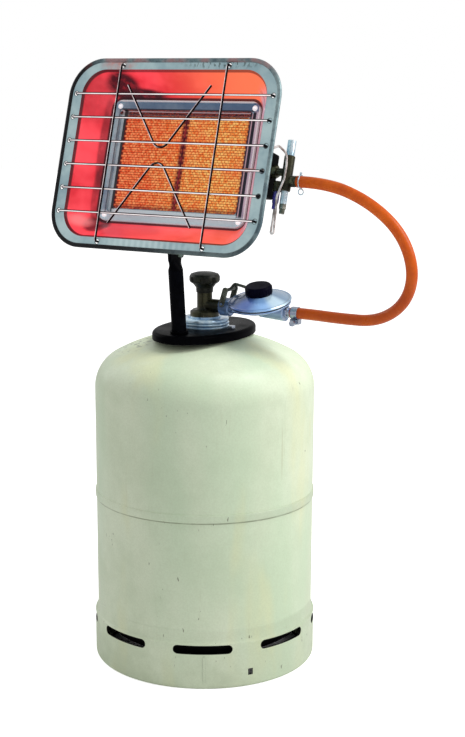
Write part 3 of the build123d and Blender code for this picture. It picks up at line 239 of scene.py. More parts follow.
class Effects:
    """Shader node groups that the finishes share, each built on first use."""

    def __init__(self) -> None:
        """Start with no group built."""
        self._groups: dict[str, bpy.types.NodeTree] = {}

    def _group(self, name: str, inputs: dict[str, Any], outputs: dict[str, str],
               fill: Callable[[Sheet, Any], dict[str, Any]]) -> bpy.types.NodeTree:
        """Return a group.

        Args:
            name: Name of the group.
            inputs: Input name to its default; a number, a vector of three or a colour of four.
            outputs: Output name to its kind of socket.
            fill: Builds the group's nodes from its inputs and gives what feeds each output.

        Returns:
            The group's tree.
        """
        if name in self._groups:
            return self._groups[name]
        tree = self._groups[name] = bpy.data.node_groups.new(name, "ShaderNodeTree")
        for label, default in inputs.items():
            kind = {3: "Vector", 4: "Color"}[len(default)] if isinstance(default, tuple) else "Float"
            socket = tree.interface.new_socket(label, in_out="INPUT", socket_type="NodeSocket" + kind)
            socket.default_value = default
        for label, kind in outputs.items():
            tree.interface.new_socket(label, in_out="OUTPUT", socket_type="NodeSocket" + kind)
        sheet = Sheet(None, tree)
        sheet.add("NodeGroupOutput", fill(sheet, sheet.add("NodeGroupInput").outputs))
        return tree

    def mottle(self) -> bpy.types.NodeTree:
        """Two colours clouded into each other at two scales."""
        def fill(sheet: Sheet, given: Any) -> dict[str, Any]:
            """Broad clouds with a quarter of fine ones."""
            broad = sheet.noise(given["Vector"], given["Scale"], 4.0)
            fine = sheet.noise(given["Vector"], sheet.times(given["Scale"], 7.0), 2.0)
            value = sheet.ramp(sheet.maths("ADD", sheet.times(broad, 0.75), sheet.times(fine, 0.25)), 0.32, 0.68)
            return {"Color": sheet.mix(value, given["Dark"], given["Light"]), "Value": value}

        inputs = {"Vector": (0.0, 0.0, 0.0), "Scale": 20.0, "Dark": (0.2, 0.2, 0.2, 1.0),
                  "Light": (0.8, 0.8, 0.8, 1.0)}
        return self._group("Mottle", inputs, {"Color": "Color", "Value": "Float"}, fill)

    def edge_wear(self) -> bpy.types.NodeTree:
        """Mask of the convex edges, broken up by noise: worn edges, and on the near-white finishes a painted
        glint.
        """
        def fill(sheet: Sheet, given: Any) -> dict[str, Any]:
            """Pointed places where the noise lets them show."""
            edge = sheet.ramp(sheet.add("NewGeometry").outputs["Pointiness"], 0.51, 0.60)
            patchy = sheet.patches(given["Vector"], given["Scale"], 3.0, 0.40, 0.62)
            return {"Mask": sheet.times(edge, patchy, given["Amount"])}

        inputs = {"Vector": (0.0, 0.0, 0.0), "Scale": 90.0, "Amount": 0.5}
        return self._group("Edge wear", inputs, {"Mask": "Float"}, fill)

    def grain(self) -> bpy.types.NodeTree:
        """Fine surface relief as a normal."""
        def fill(sheet: Sheet, given: Any) -> dict[str, Any]:
            """Bump of fine noise."""
            bump = sheet.add("Bump", {"Height": sheet.noise(given["Vector"], given["Scale"], 4.0),
                                      "Distance": given["Depth"], "Strength": given["Strength"]})
            return {"Normal": bump.outputs[0]}

        inputs = {"Vector": (0.0, 0.0, 0.0), "Scale": 400.0, "Depth": 0.0002, "Strength": 0.3}
        return self._group("Grain", inputs, {"Normal": "Vector"}, fill)


EFFECTS = Effects()


# --- Finishes ---------------------------------------------------------------------------------------------


@dataclass(frozen=True)
class Finish:
    """A surface with clouded colour, fine relief, worn edges, and where set a painted glint, painted shade in the
    hollows and a painted glow.
    """

    name: str
    slot: str
    light: Colour
    dark: Colour
    metallic: float = 0.0
    roughness: float = 0.45
    cloud: float = 18.0
    grain: float = 500.0
    depth: float = 0.00015
    # Worn edges and their colour; where the colour is near white the edges carry a painted glint.
    wear_and_glint: float = 0.0
    bare_and_glint: Colour = (0.55, 0.53, 0.5, 1.0)
    coat: float = 0.0
    specular: float = 0.5
    # Emission strength: the plaques' own glow, and on every other part a painted glow.
    shine: float = 0.0
    # Darkening of the hollows: a painted shade that also stands for grime.
    dirt_and_shade: float = 0.0

    def material(self) -> bpy.types.Material:
        """Return the material, built on first use."""
        known = bpy.data.materials.get(self.name)
        if known is not None:
            return known
        made = bpy.data.materials.new(self.name)
        sheet = Sheet(made)
        fixed = {"Metallic": self.metallic, "Coat Weight": self.coat, "Coat Roughness": 0.12,
                 "Specular IOR Level": self.specular}
        shader = sheet.add("BsdfPrincipled", {**fixed, **self.paint(sheet)})
        sheet.add("OutputMaterial", {0: shader.outputs[0]})
        return made

    def cloud_colour(self, sheet: Sheet, vector: Any) -> tuple[Any, Any]:
        """Clouded colour and the cloud's value."""
        sockets = {"Vector": vector, "Scale": self.cloud, "Dark": self.dark, "Light": self.light}
        group = sheet.add("Group", sockets, node_tree=EFFECTS.mottle())
        return group.outputs["Color"], group.outputs["Value"]

    def relief(self, sheet: Sheet, vector: Any) -> Any:
        """Normal of the fine relief."""
        sockets = {"Vector": vector, "Scale": self.grain, "Depth": self.depth}
        return sheet.add("Group", sockets, node_tree=EFFECTS.grain()).outputs["Normal"]

    def surface(self, sheet: Sheet, vector: Any, colour: Any, value: Any,
                rough: tuple[float, float] | None = None, glows: bool = True) -> dict[str, Any]:
        """Shader inputs of a clouded surface.

        Args:
            sheet: Sheet of the material.
            vector: Coordinates of the pattern.
            colour: Colour of the surface.
            value: The cloud's value.
            rough: Roughness in the cloud's dark and light parts, or None to stay round the finish's own.
            glows: Whether the colour also glows, as a painted glow.

        Returns:
            What feeds each input.
        """
        start, end = rough or (self.roughness * 1.15, self.roughness * 0.85)
        inputs = {"Base Color": colour, "Roughness": sheet.ramp(value, 0.0, 1.0, start, end),
                  "Normal": self.relief(sheet, vector)}
        # Painted glow in the surface's own colour.
        if glows:
            inputs.update({"Emission Color": colour, "Emission Strength": self.shine})
        return inputs

    def paint(self, sheet: Sheet) -> dict[str, Any]:
        """What feeds each input of the shader."""
        vector = sheet.own()
        colour, value = self.cloud_colour(sheet, vector)
        # Worn edges, which are a painted glint where their colour is near white.
        if self.wear_and_glint > 0.0:
            worn = sheet.add("Group", {"Vector": vector, "Amount": self.wear_and_glint}, node_tree=EFFECTS.edge_wear())
            colour = sheet.mix(worn.outputs["Mask"], colour, self.bare_and_glint)
        # Hollows darkened: a painted shade that also stands for grime.
        if self.dirt_and_shade > 0.0:
            hollow = sheet.ramp(sheet.add("NewGeometry").outputs["Pointiness"], 0.495, 0.44)
            colour = sheet.cover(colour, (hollow, self.dirt_and_shade, srgb(20, 26, 40)))
        return self.surface(sheet, vector, colour, value)


@dataclass(frozen=True)
class CylinderPaint(Finish):
    """Cream paint over sheet steel: green and straw patches, drips, scratches and a painted shade along the seam's
    lower edge.
    """

    # Height of the seam bead's lower edge, where the painted shade runs.
    joint: float = 0.2330

    def paint(self, sheet: Sheet) -> dict[str, Any]:
        """Clouded paint under patches, marks, grime and a painted shade along the seam."""
        vector = sheet.own()
        colour, value = self.cloud_colour(sheet, vector)
        height = sheet.split(vector)[2]
        tall = sheet.place(vector, scale=(1.0, 1.0, 0.25))
        streaky = sheet.place(vector, scale=(1.0, 1.0, 0.06))
        level = sheet.place(vector, rotation=(0.0, 0.0, -0.53), scale=(0.12, 1.0, 1.6))
        speckled = sheet.place(vector, scale=(1.0, 1.0, 0.35))
        green = sheet.patches(tall, 8.0, 2.0, 0.45, 0.68, 0.0, 0.5)
        straw = sheet.patches(sheet.place(tall, (3.1, 1.7, 0.4)), 13.0, 3.0, 0.52, 0.70, 0.0, 0.55)
        drips = sheet.times(sheet.patches(streaky, 75.0, 5.0, 0.56, 0.74, roughness=0.7),
                            sheet.patches(vector, 7.0, 1.0, 0.47, 0.62))
        scratches = sheet.times(sheet.patches(level, 210.0, 2.0, 0.57, 0.62, roughness=0.6),
                                sheet.blob(vector, (-0.078, -0.058, 0.452), (0.046, 0.046, 0.030)))
        specks = sheet.times(sheet.patches(speckled, 190.0, 2.0, 0.70, 0.75, roughness=0.6),
                             sheet.patches(vector, 9.0, 2.0, 0.52, 0.60))
        peel = sheet.patches(vector, 420.0, 2.0, 0.35, 0.65, 0.0, 0.14)
        # Painted shade in a band along the lower edge of the seam bead.
        joint = sheet.times(sheet.near(height, self.joint, 0.0014, 0.0003),
                            sheet.patches(vector, 35.0, 3.0, 0.3, 0.6, 0.25, 0.75))
        grime = sheet.times(sheet.ramp(height, 0.10, 0.0), sheet.ramp(value, 0.2, 0.9, 0.28, 0.10))
        colour = sheet.cover(
            colour, (green, 1.0, srgb(188, 212, 180)), (straw, 1.0, srgb(214, 216, 172)),
            (drips, 0.45, srgb(170, 168, 132)), (scratches, 0.8, srgb(96, 102, 100)),
            (specks, 0.8, srgb(98, 100, 76)), (peel, 1.0, srgb(170, 178, 146)),
            (joint, 1.0, srgb(120, 124, 98)), (grime, 1.0, srgb(158, 168, 138)))
        rough = (self.roughness * 1.1, self.roughness * 0.9)
        inputs = self.surface(sheet, vector, colour, value, rough, glows=False)
        ripple = sheet.noise(sheet.place(vector, scale=(1.0, 1.0, 0.3)), 60.0, 4.0)
        bump = sheet.add("Bump", {"Height": sheet.maths("ADD", ripple, sheet.times(drips, 0.8)),
                                  "Distance": self.depth, "Strength": 0.5, "Normal": inputs["Normal"]})
        return {**inputs, "Normal": bump.outputs[0]}


@dataclass(frozen=True)
class GlowReflectionPaint(Finish):
    """Bright reflector wall painted with the reflection of the plaques' red glow, paler and greyer on the right
    wall, with painted shadows and a painted highlight.
    """

    def paint(self, sheet: Sheet) -> dict[str, Any]:
        """The painted reflection of the glow as base colour and emission."""
        vector, x, y, z = sheet.on_head()
        cloud = sheet.noise(vector, 16.0, 3.0)
        # Painted reflection of the plaques' glow: red, turning orange to the right on the upper and lower walls.
        red = sheet.mix(sheet.ramp(cloud, 0.36, 0.62), srgb(214, 40, 54), srgb(254, 76, 88))
        across = sheet.ramp(sheet.maths("ADD", x, sheet.times(cloud, 0.05)), -0.03, 0.12)
        upper, lower = sheet.ramp(z, 0.06, 0.09), sheet.ramp(z, -0.06, -0.09)
        hot = sheet.times(across, sheet.maths("ADD", upper, sheet.times(lower, 0.35)))
        # Paler, greyer painted reflection on the right wall.
        side = sheet.times(sheet.ramp(x, 0.108, 0.120), sheet.near(z, 0.0, 0.098, 0.078))
        streaks = sheet.patches(sheet.place(vector, scale=(1.0, 4.0, 0.25)), 50.0, 2.0, 0.38, 0.62)
        grey = sheet.mix(streaks, srgb(112, 104, 124), srgb(196, 168, 184))
        colour = sheet.cover(red, (hot, 1.0, srgb(252, 122, 84)), (side, 0.9, grey))
        ragged = sheet.patches(vector, 90.0, 3.0, 0.3, 0.55, 0.75, 1.0)
        # Painted shadows in the corners.
        for centre, size, depth in self.shadows():
            near = sheet.ramp(sheet.blob(vector, centre, size), 0.0, 0.7)
            colour = sheet.mix(sheet.times(near, depth, ragged), colour, srgb(34, 14, 24))
        # Painted highlight low on the left wall.
        painted_highlight = sheet.blob(vector, (-0.122, 0.02, -0.088), (0.022, 0.03, 0.012))
        # Painted shade: a dark line where the walls meet the bezel, and along the mouth at the lower left.
        seam = sheet.ramp(y, 0.0432, 0.0450)
        low_left = sheet.most(sheet.ramp(x, -0.06, -0.09), sheet.ramp(z, -0.05, -0.08))
        lip = sheet.times(sheet.ramp(y, 0.0102, 0.0084), sheet.ramp(low_left, 0.0, 1.0, 0.75, 1.0))
        colour = sheet.cover(colour, (painted_highlight, 0.6, srgb(255, 150, 152)),
                             (sheet.most(seam, lip), 0.92, srgb(22, 12, 18)))
        return {"Base Color": sheet.mix(0.55, colour, self.dark), "Emission Color": colour,
                "Emission Strength": self.shine, "Roughness": sheet.ramp(cloud, 0.3, 0.7, 0.38, 0.28),
                "Normal": self.relief(sheet, vector)}

    @staticmethod
    def shadows() -> list[tuple[Point, Point, float]]:
        """Centre, reach and depth of the painted shadows in the corners."""
        return [
            ((-0.090, 0.028, 0.096), (0.034, 0.038, 0.030), 1.0),
            ((-0.070, 0.042, 0.088), (0.056, 0.018, 0.016), 1.0),
            ((-0.104, 0.036, -0.092), (0.026, 0.030, 0.024), 0.85),
            ((-0.117, 0.042, 0.020), (0.012, 0.012, 0.090), 0.6),
            ((-0.117, 0.042, -0.050), (0.010, 0.010, 0.060), 0.5),
            ((-0.128, 0.026, 0.080), (0.030, 0.040, 0.046), 0.28),
            ((-0.050, 0.024, -0.094), (0.080, 0.030, 0.024), 0.25),
        ]


@dataclass(frozen=True)
class GlowingCeramic(Finish):
    """Red-hot ceramic: yellow-orange ribs, duller towards the edges of each plaque and redder on the left."""

    rib: bool = True

    def paint(self, sheet: Sheet) -> dict[str, Any]:
        """The heat as base colour and emission."""
        vector, x, _, z = sheet.on_head()
        across = sheet.ramp(x, -0.085, 0.055)
        warm = sheet.mix(across, srgb(224, 82, 36), srgb(240, 130, 50))
        pale = sheet.mix(across, srgb(255, 158, 100), srgb(255, 204, 116))
        colour = sheet.mix(sheet.patches(vector, 260.0, 2.0, 0.35, 0.66), warm, pale)
        if not self.rib:
            colour = sheet.mix(0.85, colour, srgb(118, 22, 18))
        drift = sheet.patches(vector, 26.0, 3.0, 0.45, 0.75, 0.0, 0.35)
        left, right = sheet.ramp(x, -0.091, -0.0955), sheet.ramp(x, 0.090, 0.096)
        top, bottom = sheet.ramp(z, 0.0575, 0.0630), sheet.ramp(z, -0.0545, -0.0625)
        joint = sheet.near(x, 0.0, 0.0068, 0.0030)
        edge = sheet.times(sheet.most(left, right, top, bottom, joint),
                           sheet.patches(vector, 120.0, 3.0, 0.25, 0.6, 0.45, 1.0))
        colour = sheet.cover(colour, (drift, 1.0, srgb(232, 62, 40)), (edge, 0.85, srgb(92, 16, 34)))
        return {"Base Color": sheet.mix(0.6, colour, self.dark), "Emission Color": colour,
                "Emission Strength": self.shine, "Roughness": self.roughness}


@dataclass(frozen=True)
class FibrePacking(Finish):
    """Ceramic fibre that is scorched dark red in the joint between the plaques."""

    def paint(self, sheet: Sheet) -> dict[str, Any]:
        """The fibre and its scorched strip."""
        vector, x, _, _ = sheet.on_head()
        colour, _ = self.cloud_colour(sheet, vector)
        scorched = sheet.mix(sheet.patches(vector, 160.0, 3.0, 0.4, 0.6), srgb(52, 12, 26), srgb(138, 38, 44))
        strip = sheet.near(x, 0.0, 0.0030, 0.0020)
        return {"Base Color": sheet.mix(strip, colour, scorched), "Roughness": self.roughness,
                "Emission Color": sheet.mix(strip, UNLIT, scorched), "Emission Strength": self.shine,
                "Normal": self.relief(sheet, vector)}


@dataclass(frozen=True)
class PaintedRecessEdge(Finish):
    """Recessed edge round the plaques, with painted light and shade: enamel on the left with a painted lit floor
    and a painted shaded wall, brown above from scorching and a painted reflection of the glow, a painted highlight
    line along the top, painted shade with a painted highlight stripe on the right, and painted light below.
    """

    def paint(self, sheet: Sheet) -> dict[str, Any]:
        """The edge's painted light and shade as base colour, and a faint painted glow."""
        vector, x, y, z = sheet.on_head()
        colour, value = self.cloud_colour(sheet, vector)
        # Brown above the plaques: scorching with a painted reflection of the glow.
        mesh = sheet.patches(sheet.place(vector, scale=(1.0, 1.0, 2.0)), 330.0, 1.0, 0.45, 0.6)
        brown = sheet.mix(mesh, srgb(58, 14, 20), srgb(150, 56, 44))
        # Brown laid above the plaques, and a painted highlight line along the top edge.
        above, line = sheet.ramp(z, 0.0625, 0.0645), sheet.near(z, 0.0684, 0.0010, 0.0004)
        # Painted shade on the right, with a painted highlight stripe.
        right, stripe = sheet.ramp(x, 0.0945, 0.0955), sheet.near(x, 0.0978, 0.0012, 0.0005)
        left = sheet.ramp(x, -0.09, -0.094)
        # Painted light on the recess floor and painted shade on its wall, at the left.
        floor = sheet.times(sheet.ramp(y, 0.0510, 0.0520), left)
        wall = sheet.times(sheet.ramp(x, -0.0988, -0.0978), left)
        # Painted light below the plaques.
        below = sheet.times(sheet.ramp(z, -0.0640, -0.0650), sheet.near(x, 0.0, 0.098, 0.094))
        colour = sheet.cover(
            colour, (above, 1.0, brown), (line, 0.8, srgb(214, 190, 198)), (right, 1.0, srgb(26, 20, 42)),
            (stripe, 0.85, srgb(206, 168, 180)), (floor, 1.0, srgb(238, 240, 244)),
            (wall, 0.95, srgb(22, 14, 22)), (below, 0.9, srgb(206, 218, 224)))
        return self.surface(sheet, vector, colour, value, (0.5, 0.4))


@dataclass(frozen=True)
class BezelEnamel(Finish):
    """Face of the bezel, with painted light and shade: a painted highlight on the raised edge, painted shade lines
    at the upper and left inner edges, a painted lilac reflection and a dark painted shade strip on the right,
    painted light below and painted shade along the top.
    """

    outer: tuple[float, float] = (0.1102, 0.0802)
    inner: tuple[float, float] = (0.1020, 0.0695)
    inset: float = 0.0008

    def paint(self, sheet: Sheet) -> dict[str, Any]:
        """The bezel's bands of painted light and shade."""
        vector, x, _, z = sheet.on_head()
        colour, value = self.cloud_colour(sheet, vector)
        (wide, high), (room_x, room_z) = self.outer, self.inner
        # Painted lilac reflection on the right.
        streaks = sheet.patches(sheet.place(vector, scale=(2.0, 1.0, 0.2)), 60.0, 2.0, 0.4, 0.6)
        lilac = sheet.mix(streaks, srgb(150, 136, 160), srgb(214, 188, 202))
        # Painted shade strip on the right, painted light below and painted shade along the top.
        right, below = sheet.ramp(x, 0.102, 0.104), sheet.ramp(z, -0.066, -0.070)
        strip = sheet.times(sheet.ramp(x, 0.1015, 0.1020), sheet.ramp(x, 0.1064, 0.1056),
                            sheet.near(z, 0.0, 0.0700, 0.0680))
        above = sheet.times(sheet.ramp(z, 0.068, 0.071), sheet.ramp(x, -0.08, 0.02, 0.3, 0.75))
        # Painted highlight on the raised edge and painted shade lines at the upper and left inner edges.
        raised = sheet.most(sheet.ramp(z, high - 0.0004, high + 0.0002),
                            sheet.near(x, 0.0, wide - 0.0004, wide + 0.0002))
        line = sheet.times(sheet.near(z, room_z + self.inset, 0.0012, 0.0006),
                           sheet.near(x, 0.0, 0.1030, 0.1015))
        side = sheet.times(sheet.near(x, -(room_x + self.inset), 0.0011, 0.0005),
                           sheet.near(z, 0.0, 0.0710, 0.0695))
        colour = sheet.cover(
            colour, (right, 0.9, lilac), (strip, 1.0, srgb(20, 16, 36)), (below, 0.7, srgb(206, 220, 226)),
            (above, 1.0, srgb(60, 90, 126)), (raised, 0.75, srgb(238, 240, 242)),
            (line, 0.9, srgb(18, 20, 34)), (side, 0.75, srgb(18, 20, 34)))
        return self.surface(sheet, vector, colour, value, (0.44, 0.32))


@dataclass(frozen=True)
class GuardWire(Finish):
    """Guard wire with painted light: bright along one side, painted shade along the others, and black where it
    enters the flange.
    """

    lit: Point = (0.50, -0.86, -0.12)
    span: tuple[float, float] = (0.60, 0.82)
    reach: tuple[float, float] = (0.1460, 0.1185)
    fade: float = 0.0012

    def paint(self, sheet: Sheet) -> dict[str, Any]:
        """The painted highlight line and the painted shade."""
        vector, x, _, z = sheet.on_head()
        colour, value = self.cloud_colour(sheet, vector)
        # Painted light: bright on the side facing the lit direction, painted shade elsewhere.
        normal = sheet.add("NewGeometry").outputs["Normal"]
        facing = sheet.add("VectorMath", {0: normal, 1: self.lit}, operation="DOT_PRODUCT").outputs[1]
        colour = sheet.mix(sheet.ramp(facing, *self.span), srgb(10, 4, 8), colour)
        wide, high = self.reach
        ends = sheet.most(sheet.near(x, 0.0, wide, wide + self.fade), sheet.near(z, 0.0, high - self.fade, high))
        colour = sheet.cover(colour, (ends, 1.0, srgb(10, 10, 14)))
        return self.surface(sheet, vector, colour, value, (0.36, 0.26))


@dataclass(frozen=True)
class RolledRim(Finish):
    """Rolled rim of the reflector: deep in shadow on the left and below, bright along the top and right."""

    shaded: Colour = (0.004, 0.005, 0.007, 1.0)

    def paint(self, sheet: Sheet) -> dict[str, Any]:
        """The shaded and the bright side of the rim."""
        vector, x, _, z = sheet.on_head()
        colour, value = self.cloud_colour(sheet, vector)
        ragged = sheet.times(sheet.noise(vector, 45.0, 3.0), 0.03)
        west = sheet.ramp(sheet.maths("SUBTRACT", x, ragged), -0.125, -0.155)
        south = sheet.times(sheet.ramp(sheet.maths("SUBTRACT", z, ragged), -0.112, -0.128),
                            sheet.ramp(x, 0.12, -0.06, 0.45, 1.0))
        # Painted reflection of the glow along the top of the rim.
        warm = sheet.times(sheet.patches(vector, 30.0, 2.0, 0.45, 0.6), 0.5, sheet.ramp(z, 0.1, 0.125))
        colour = sheet.cover(colour, (sheet.most(west, south), 1.0, self.shaded),
                             (warm, 1.0, srgb(186, 96, 96)))
        return self.surface(sheet, vector, colour, value, (0.5, 0.36), glows=False)


@dataclass(frozen=True)
class FlangeSteel(Finish):
    """Flat flange and back of the reflector, with a painted reflection of the glow at its upper left and soot
    spots.
    """

    pitch: float = 0.0317
    side: float = 0.1490
    upright: float = 0.0800
    top: float = 0.1175
    soot: float = 0.0032

    def paint(self, sheet: Sheet) -> dict[str, Any]:
        """Steel, painted reflection of the glow, and soot."""
        vector, x, _, z = sheet.on_head()
        colour, value = self.cloud_colour(sheet, vector)
        # Painted reflection of the glow at the upper left.
        blush = sheet.times(sheet.blob(vector, (-0.088, 0.005, 0.118), (0.034, 0.02, 0.012)),
                            sheet.patches(vector, 90.0, 3.0, 0.35, 0.6, 0.35, 1.0))
        soot = sheet.times(sheet.blob(vector, (0.07, 0.005, 0.119), (0.075, 0.02, 0.008)),
                           sheet.patches(sheet.place(vector, scale=(2.0, 1.0, 1.0)), 150.0, 2.0, 0.52, 0.6))
        ribs = sheet.ramp(sheet.maths("SINE", sheet.times(x, 700.0)), -1.0, 1.0)
        below = sheet.times(sheet.blob(vector, (0.0, 0.005, -0.118), (0.09, 0.02, 0.014)), 0.25, ribs)
        colour = sheet.cover(
            colour, (blush, 0.7, srgb(196, 112, 100)), (soot, 0.75, srgb(58, 70, 66)),
            (self.holes(sheet, x, z), 0.85, srgb(16, 18, 22)), (below, 1.0, srgb(214, 232, 234)))
        return self.surface(sheet, vector, colour, value)

    def holes(self, sheet: Sheet, x: Any, z: Any) -> Any:
        """Mask of the dark edges round the guard wires' holes."""
        wide, high = sheet.maths("ABSOLUTE", x), sheet.maths("ABSOLUTE", z)
        row = sheet.maths("SUBTRACT", sheet.maths("PINGPONG", high, self.pitch / 2), self.pitch / 2)
        spots = ((sheet.maths("SUBTRACT", wide, self.side), row),
                 (sheet.maths("SUBTRACT", wide, self.upright), sheet.maths("SUBTRACT", high, self.top)))
        away = [sheet.add("CombineXYZ", {0: first, 1: second, 2: 0.0}).outputs[0] for first, second in spots]
        return sheet.most(*[sheet.ramp(sheet.length(spot), self.soot * 1.3, self.soot) for spot in away])


@dataclass(frozen=True)
class ZincCasting(Finish):
    """Zinc casting of the regulator, with a painted sheen round the disc's axis: dull blue towards the valve, a
    bright painted highlight fan across the cover, grey behind.
    """

    middle: Point = (0.088, 0.0, 0.5015)
    lean: float = 13.0

    def cloud_colour(self, sheet: Sheet, vector: Any) -> tuple[Any, Any]:
        """Clouded colour under the painted sheen that turns about the disc's axis, and the cloud's value."""
        colour, value = super().cloud_colour(sheet, vector)
        turn = -math.radians(self.lean)
        moved = Matrix.Rotation(turn, 4, "X") @ Vector(self.middle)
        x, y, z = sheet.split(sheet.place(vector, tuple(-moved), (turn, 0.0, 0.0)))
        angle = sheet.maths("ARCTAN2", y, x)
        # Painted reflection and highlight by the angle round the axis, bluer below the cover.
        dull, blue = srgb(42, 56, 90), srgb(68, 96, 164)
        changes = ((-2.35, -1.85, blue), (-1.65, -1.00, srgb(148, 194, 246)), (-0.90, -0.50, srgb(208, 234, 244)),
                   (-0.20, 0.15, srgb(122, 148, 166)), (1.40, 2.30, blue), (2.40, 2.95, dull))
        sheen = sheet.cover(dull, *[(sheet.ramp(angle, low, high), 1.0, tint) for low, high, tint in changes])
        sheen = sheet.mix(sheet.ramp(z, 0.0125, 0.0105, 0.0, 0.7), sheen, srgb(108, 138, 186))
        return sheet.mix(0.8, colour, sheen), value


@dataclass(frozen=True)
class HoseRubber(Finish):
    """Orange gas hose, scuffed here and there, with painted shade that makes it darker low down."""

    def paint(self, sheet: Sheet) -> dict[str, Any]:
        """Orange rubber with its scuffs."""
        vector = sheet.own()
        colour, value = self.cloud_colour(sheet, vector)
        scuffs = sheet.patches(vector, 85.0, 4.0, 0.60, 0.72, roughness=0.7)
        # Painted shade low down.
        low = sheet.ramp(sheet.split(vector)[2], 0.62, 0.51, 0.0, 0.45)
        colour = sheet.cover(colour, (scuffs, 0.35, srgb(246, 168, 112)), (low, 1.0, srgb(146, 50, 0)))
        rough = (self.roughness * 1.2, self.roughness * 0.8)
        return self.surface(sheet, vector, colour, value, rough, glows=False)


PAINT = CylinderPaint("Cream cylinder paint", "cylinder_paint", srgb(214, 224, 198), srgb(200, 212, 184),
                      roughness=0.42, cloud=9.0, grain=260.0, depth=0.0004)
# Near-black painted shade for the inside of the foot ring, the slots' cut faces and the belly within the ring.
SHADE_INSIDE = Finish("Painted shade inside the foot", "cylinder_paint", srgb(20, 20, 18), srgb(8, 8, 8), roughness=0.95,
                cloud=25.0, specular=0.1)
PLATED = Finish("Plated steel", "plated_steel", srgb(206, 214, 226), srgb(140, 154, 180), metallic=0.9,
                roughness=0.24, cloud=60.0, wear_and_glint=0.3)
# Ring nut: near-white edges are a painted glint and dark hollows a painted shade.
RING = Finish("Zinc-plated ring nut", "plated_steel", srgb(214, 238, 250), srgb(120, 164, 208), metallic=0.5,
              roughness=0.14, cloud=45.0, wear_and_glint=0.9, bare_and_glint=srgb(248, 252, 254), coat=0.5, dirt_and_shade=0.9)
BLACK = Finish("Black stoved enamel", "black_gloss", srgb(7, 7, 10), srgb(2, 2, 4), roughness=0.32,
               cloud=30.0, wear_and_glint=0.2, bare_and_glint=srgb(20, 22, 30), specular=0.012)
RUBBER = Finish("Black rubber", "black_rubber", srgb(26, 26, 26), srgb(14, 14, 14), roughness=0.8, cloud=60.0)
DARK_BRASS = Finish("Tarnished brass", "dark_brass", srgb(64, 62, 40), srgb(22, 22, 15), metallic=0.6,
                    roughness=0.34, cloud=70.0, wear_and_glint=0.6, bare_and_glint=srgb(150, 144, 108), dirt_and_shade=0.7)
BRASS = Finish("Brass", "brass", srgb(190, 170, 116), srgb(110, 94, 56), metallic=0.9, roughness=0.28,
               cloud=80.0, wear_and_glint=0.3, bare_and_glint=srgb(232, 214, 158))
KNOB = Finish("Black moulded plastic", "black_plastic", srgb(30, 31, 21), srgb(10, 11, 7), roughness=0.4,
              cloud=60.0, grain=700.0, depth=0.0003, wear_and_glint=0.6, bare_and_glint=srgb(104, 104, 84), specular=0.2)
CAP = Finish("Black cap plastic", "black_plastic", srgb(10, 8, 26), srgb(3, 3, 12), roughness=0.4, cloud=40.0,
             wear_and_glint=0.2, bare_and_glint=srgb(34, 34, 54), specular=0.02)
# Casting: near-white edges are a painted glint and dark hollows a painted shade.
CASTING = ZincCasting("Zinc casting", "zinc_casting", srgb(164, 192, 232), srgb(100, 132, 204), metallic=0.4,
                      roughness=0.2, cloud=24.0, grain=600.0, wear_and_glint=0.9, bare_and_glint=srgb(236, 244, 252), coat=0.6,
                      dirt_and_shade=0.7)
LEVER = Finish("Tarnished lever", "plated_steel", srgb(112, 116, 104), srgb(44, 46, 38), metallic=0.8,
               roughness=0.26, cloud=80.0, wear_and_glint=0.6, bare_and_glint=srgb(200, 204, 196), dirt_and_shade=0.6)
# Reflector steel with a painted glow.
STEEL = FlangeSteel("Reflector steel", "reflector_steel", srgb(172, 194, 196), srgb(134, 160, 168), metallic=0.35,
                    roughness=0.34, cloud=14.0, shine=0.30)
EDGE = RolledRim("Rolled rim", "reflector_steel", srgb(150, 172, 174), srgb(78, 98, 108), metallic=0.5,
                 roughness=0.36, cloud=30.0)
# Bezel enamel with a painted glow.
BEZEL = BezelEnamel("Grey heat enamel", "bezel_enamel", srgb(170, 192, 200), srgb(104, 128, 152), metallic=0.1,
                    roughness=0.38, cloud=14.0, shine=0.22)
# Recessed edge with a painted glow.
RECESS_EDGE = PaintedRecessEdge("Recessed edge, painted light and shade", "bezel_enamel", srgb(146, 166, 174), srgb(96, 116, 134), metallic=0.2,
                    roughness=0.5, cloud=40.0, shine=0.26)
SPRING = Finish("Spring wire", "guard_wire", srgb(226, 222, 222), srgb(150, 146, 150), metallic=0.8,
                roughness=0.24, cloud=60.0)
# Guard wires with a painted glow, painted light on one side and painted shade on the others.
WIRE = GuardWire("Bright guard wire", "guard_wire", srgb(255, 250, 250), srgb(232, 220, 222), metallic=0.1,
                 roughness=0.5, cloud=30.0, shine=0.6, specular=0.1, span=(0.70, 0.88))
DARK_WIRE = GuardWire("Guard wire, painted light from the left", "guard_wire", srgb(255, 246, 246), srgb(170, 150, 154), metallic=0.1,
                      roughness=0.6, cloud=90.0, shine=0.45, specular=0.08, lit=(-0.86, -0.51, 0.0),
                      span=(0.45, 0.70))
# Copper lead with a painted glow and painted shade in its hollows.
LEAD = Finish("Copper lead", "copper_lead", srgb(246, 236, 234), srgb(128, 110, 104), metallic=0.4,
              roughness=0.3, cloud=60.0, shine=0.12, dirt_and_shade=0.5)
BLUED = Finish("Blued nut", "dark_brass", srgb(74, 60, 150), srgb(22, 16, 52), metallic=0.5, roughness=0.3,
               cloud=70.0, wear_and_glint=0.6, bare_and_glint=srgb(170, 176, 214))
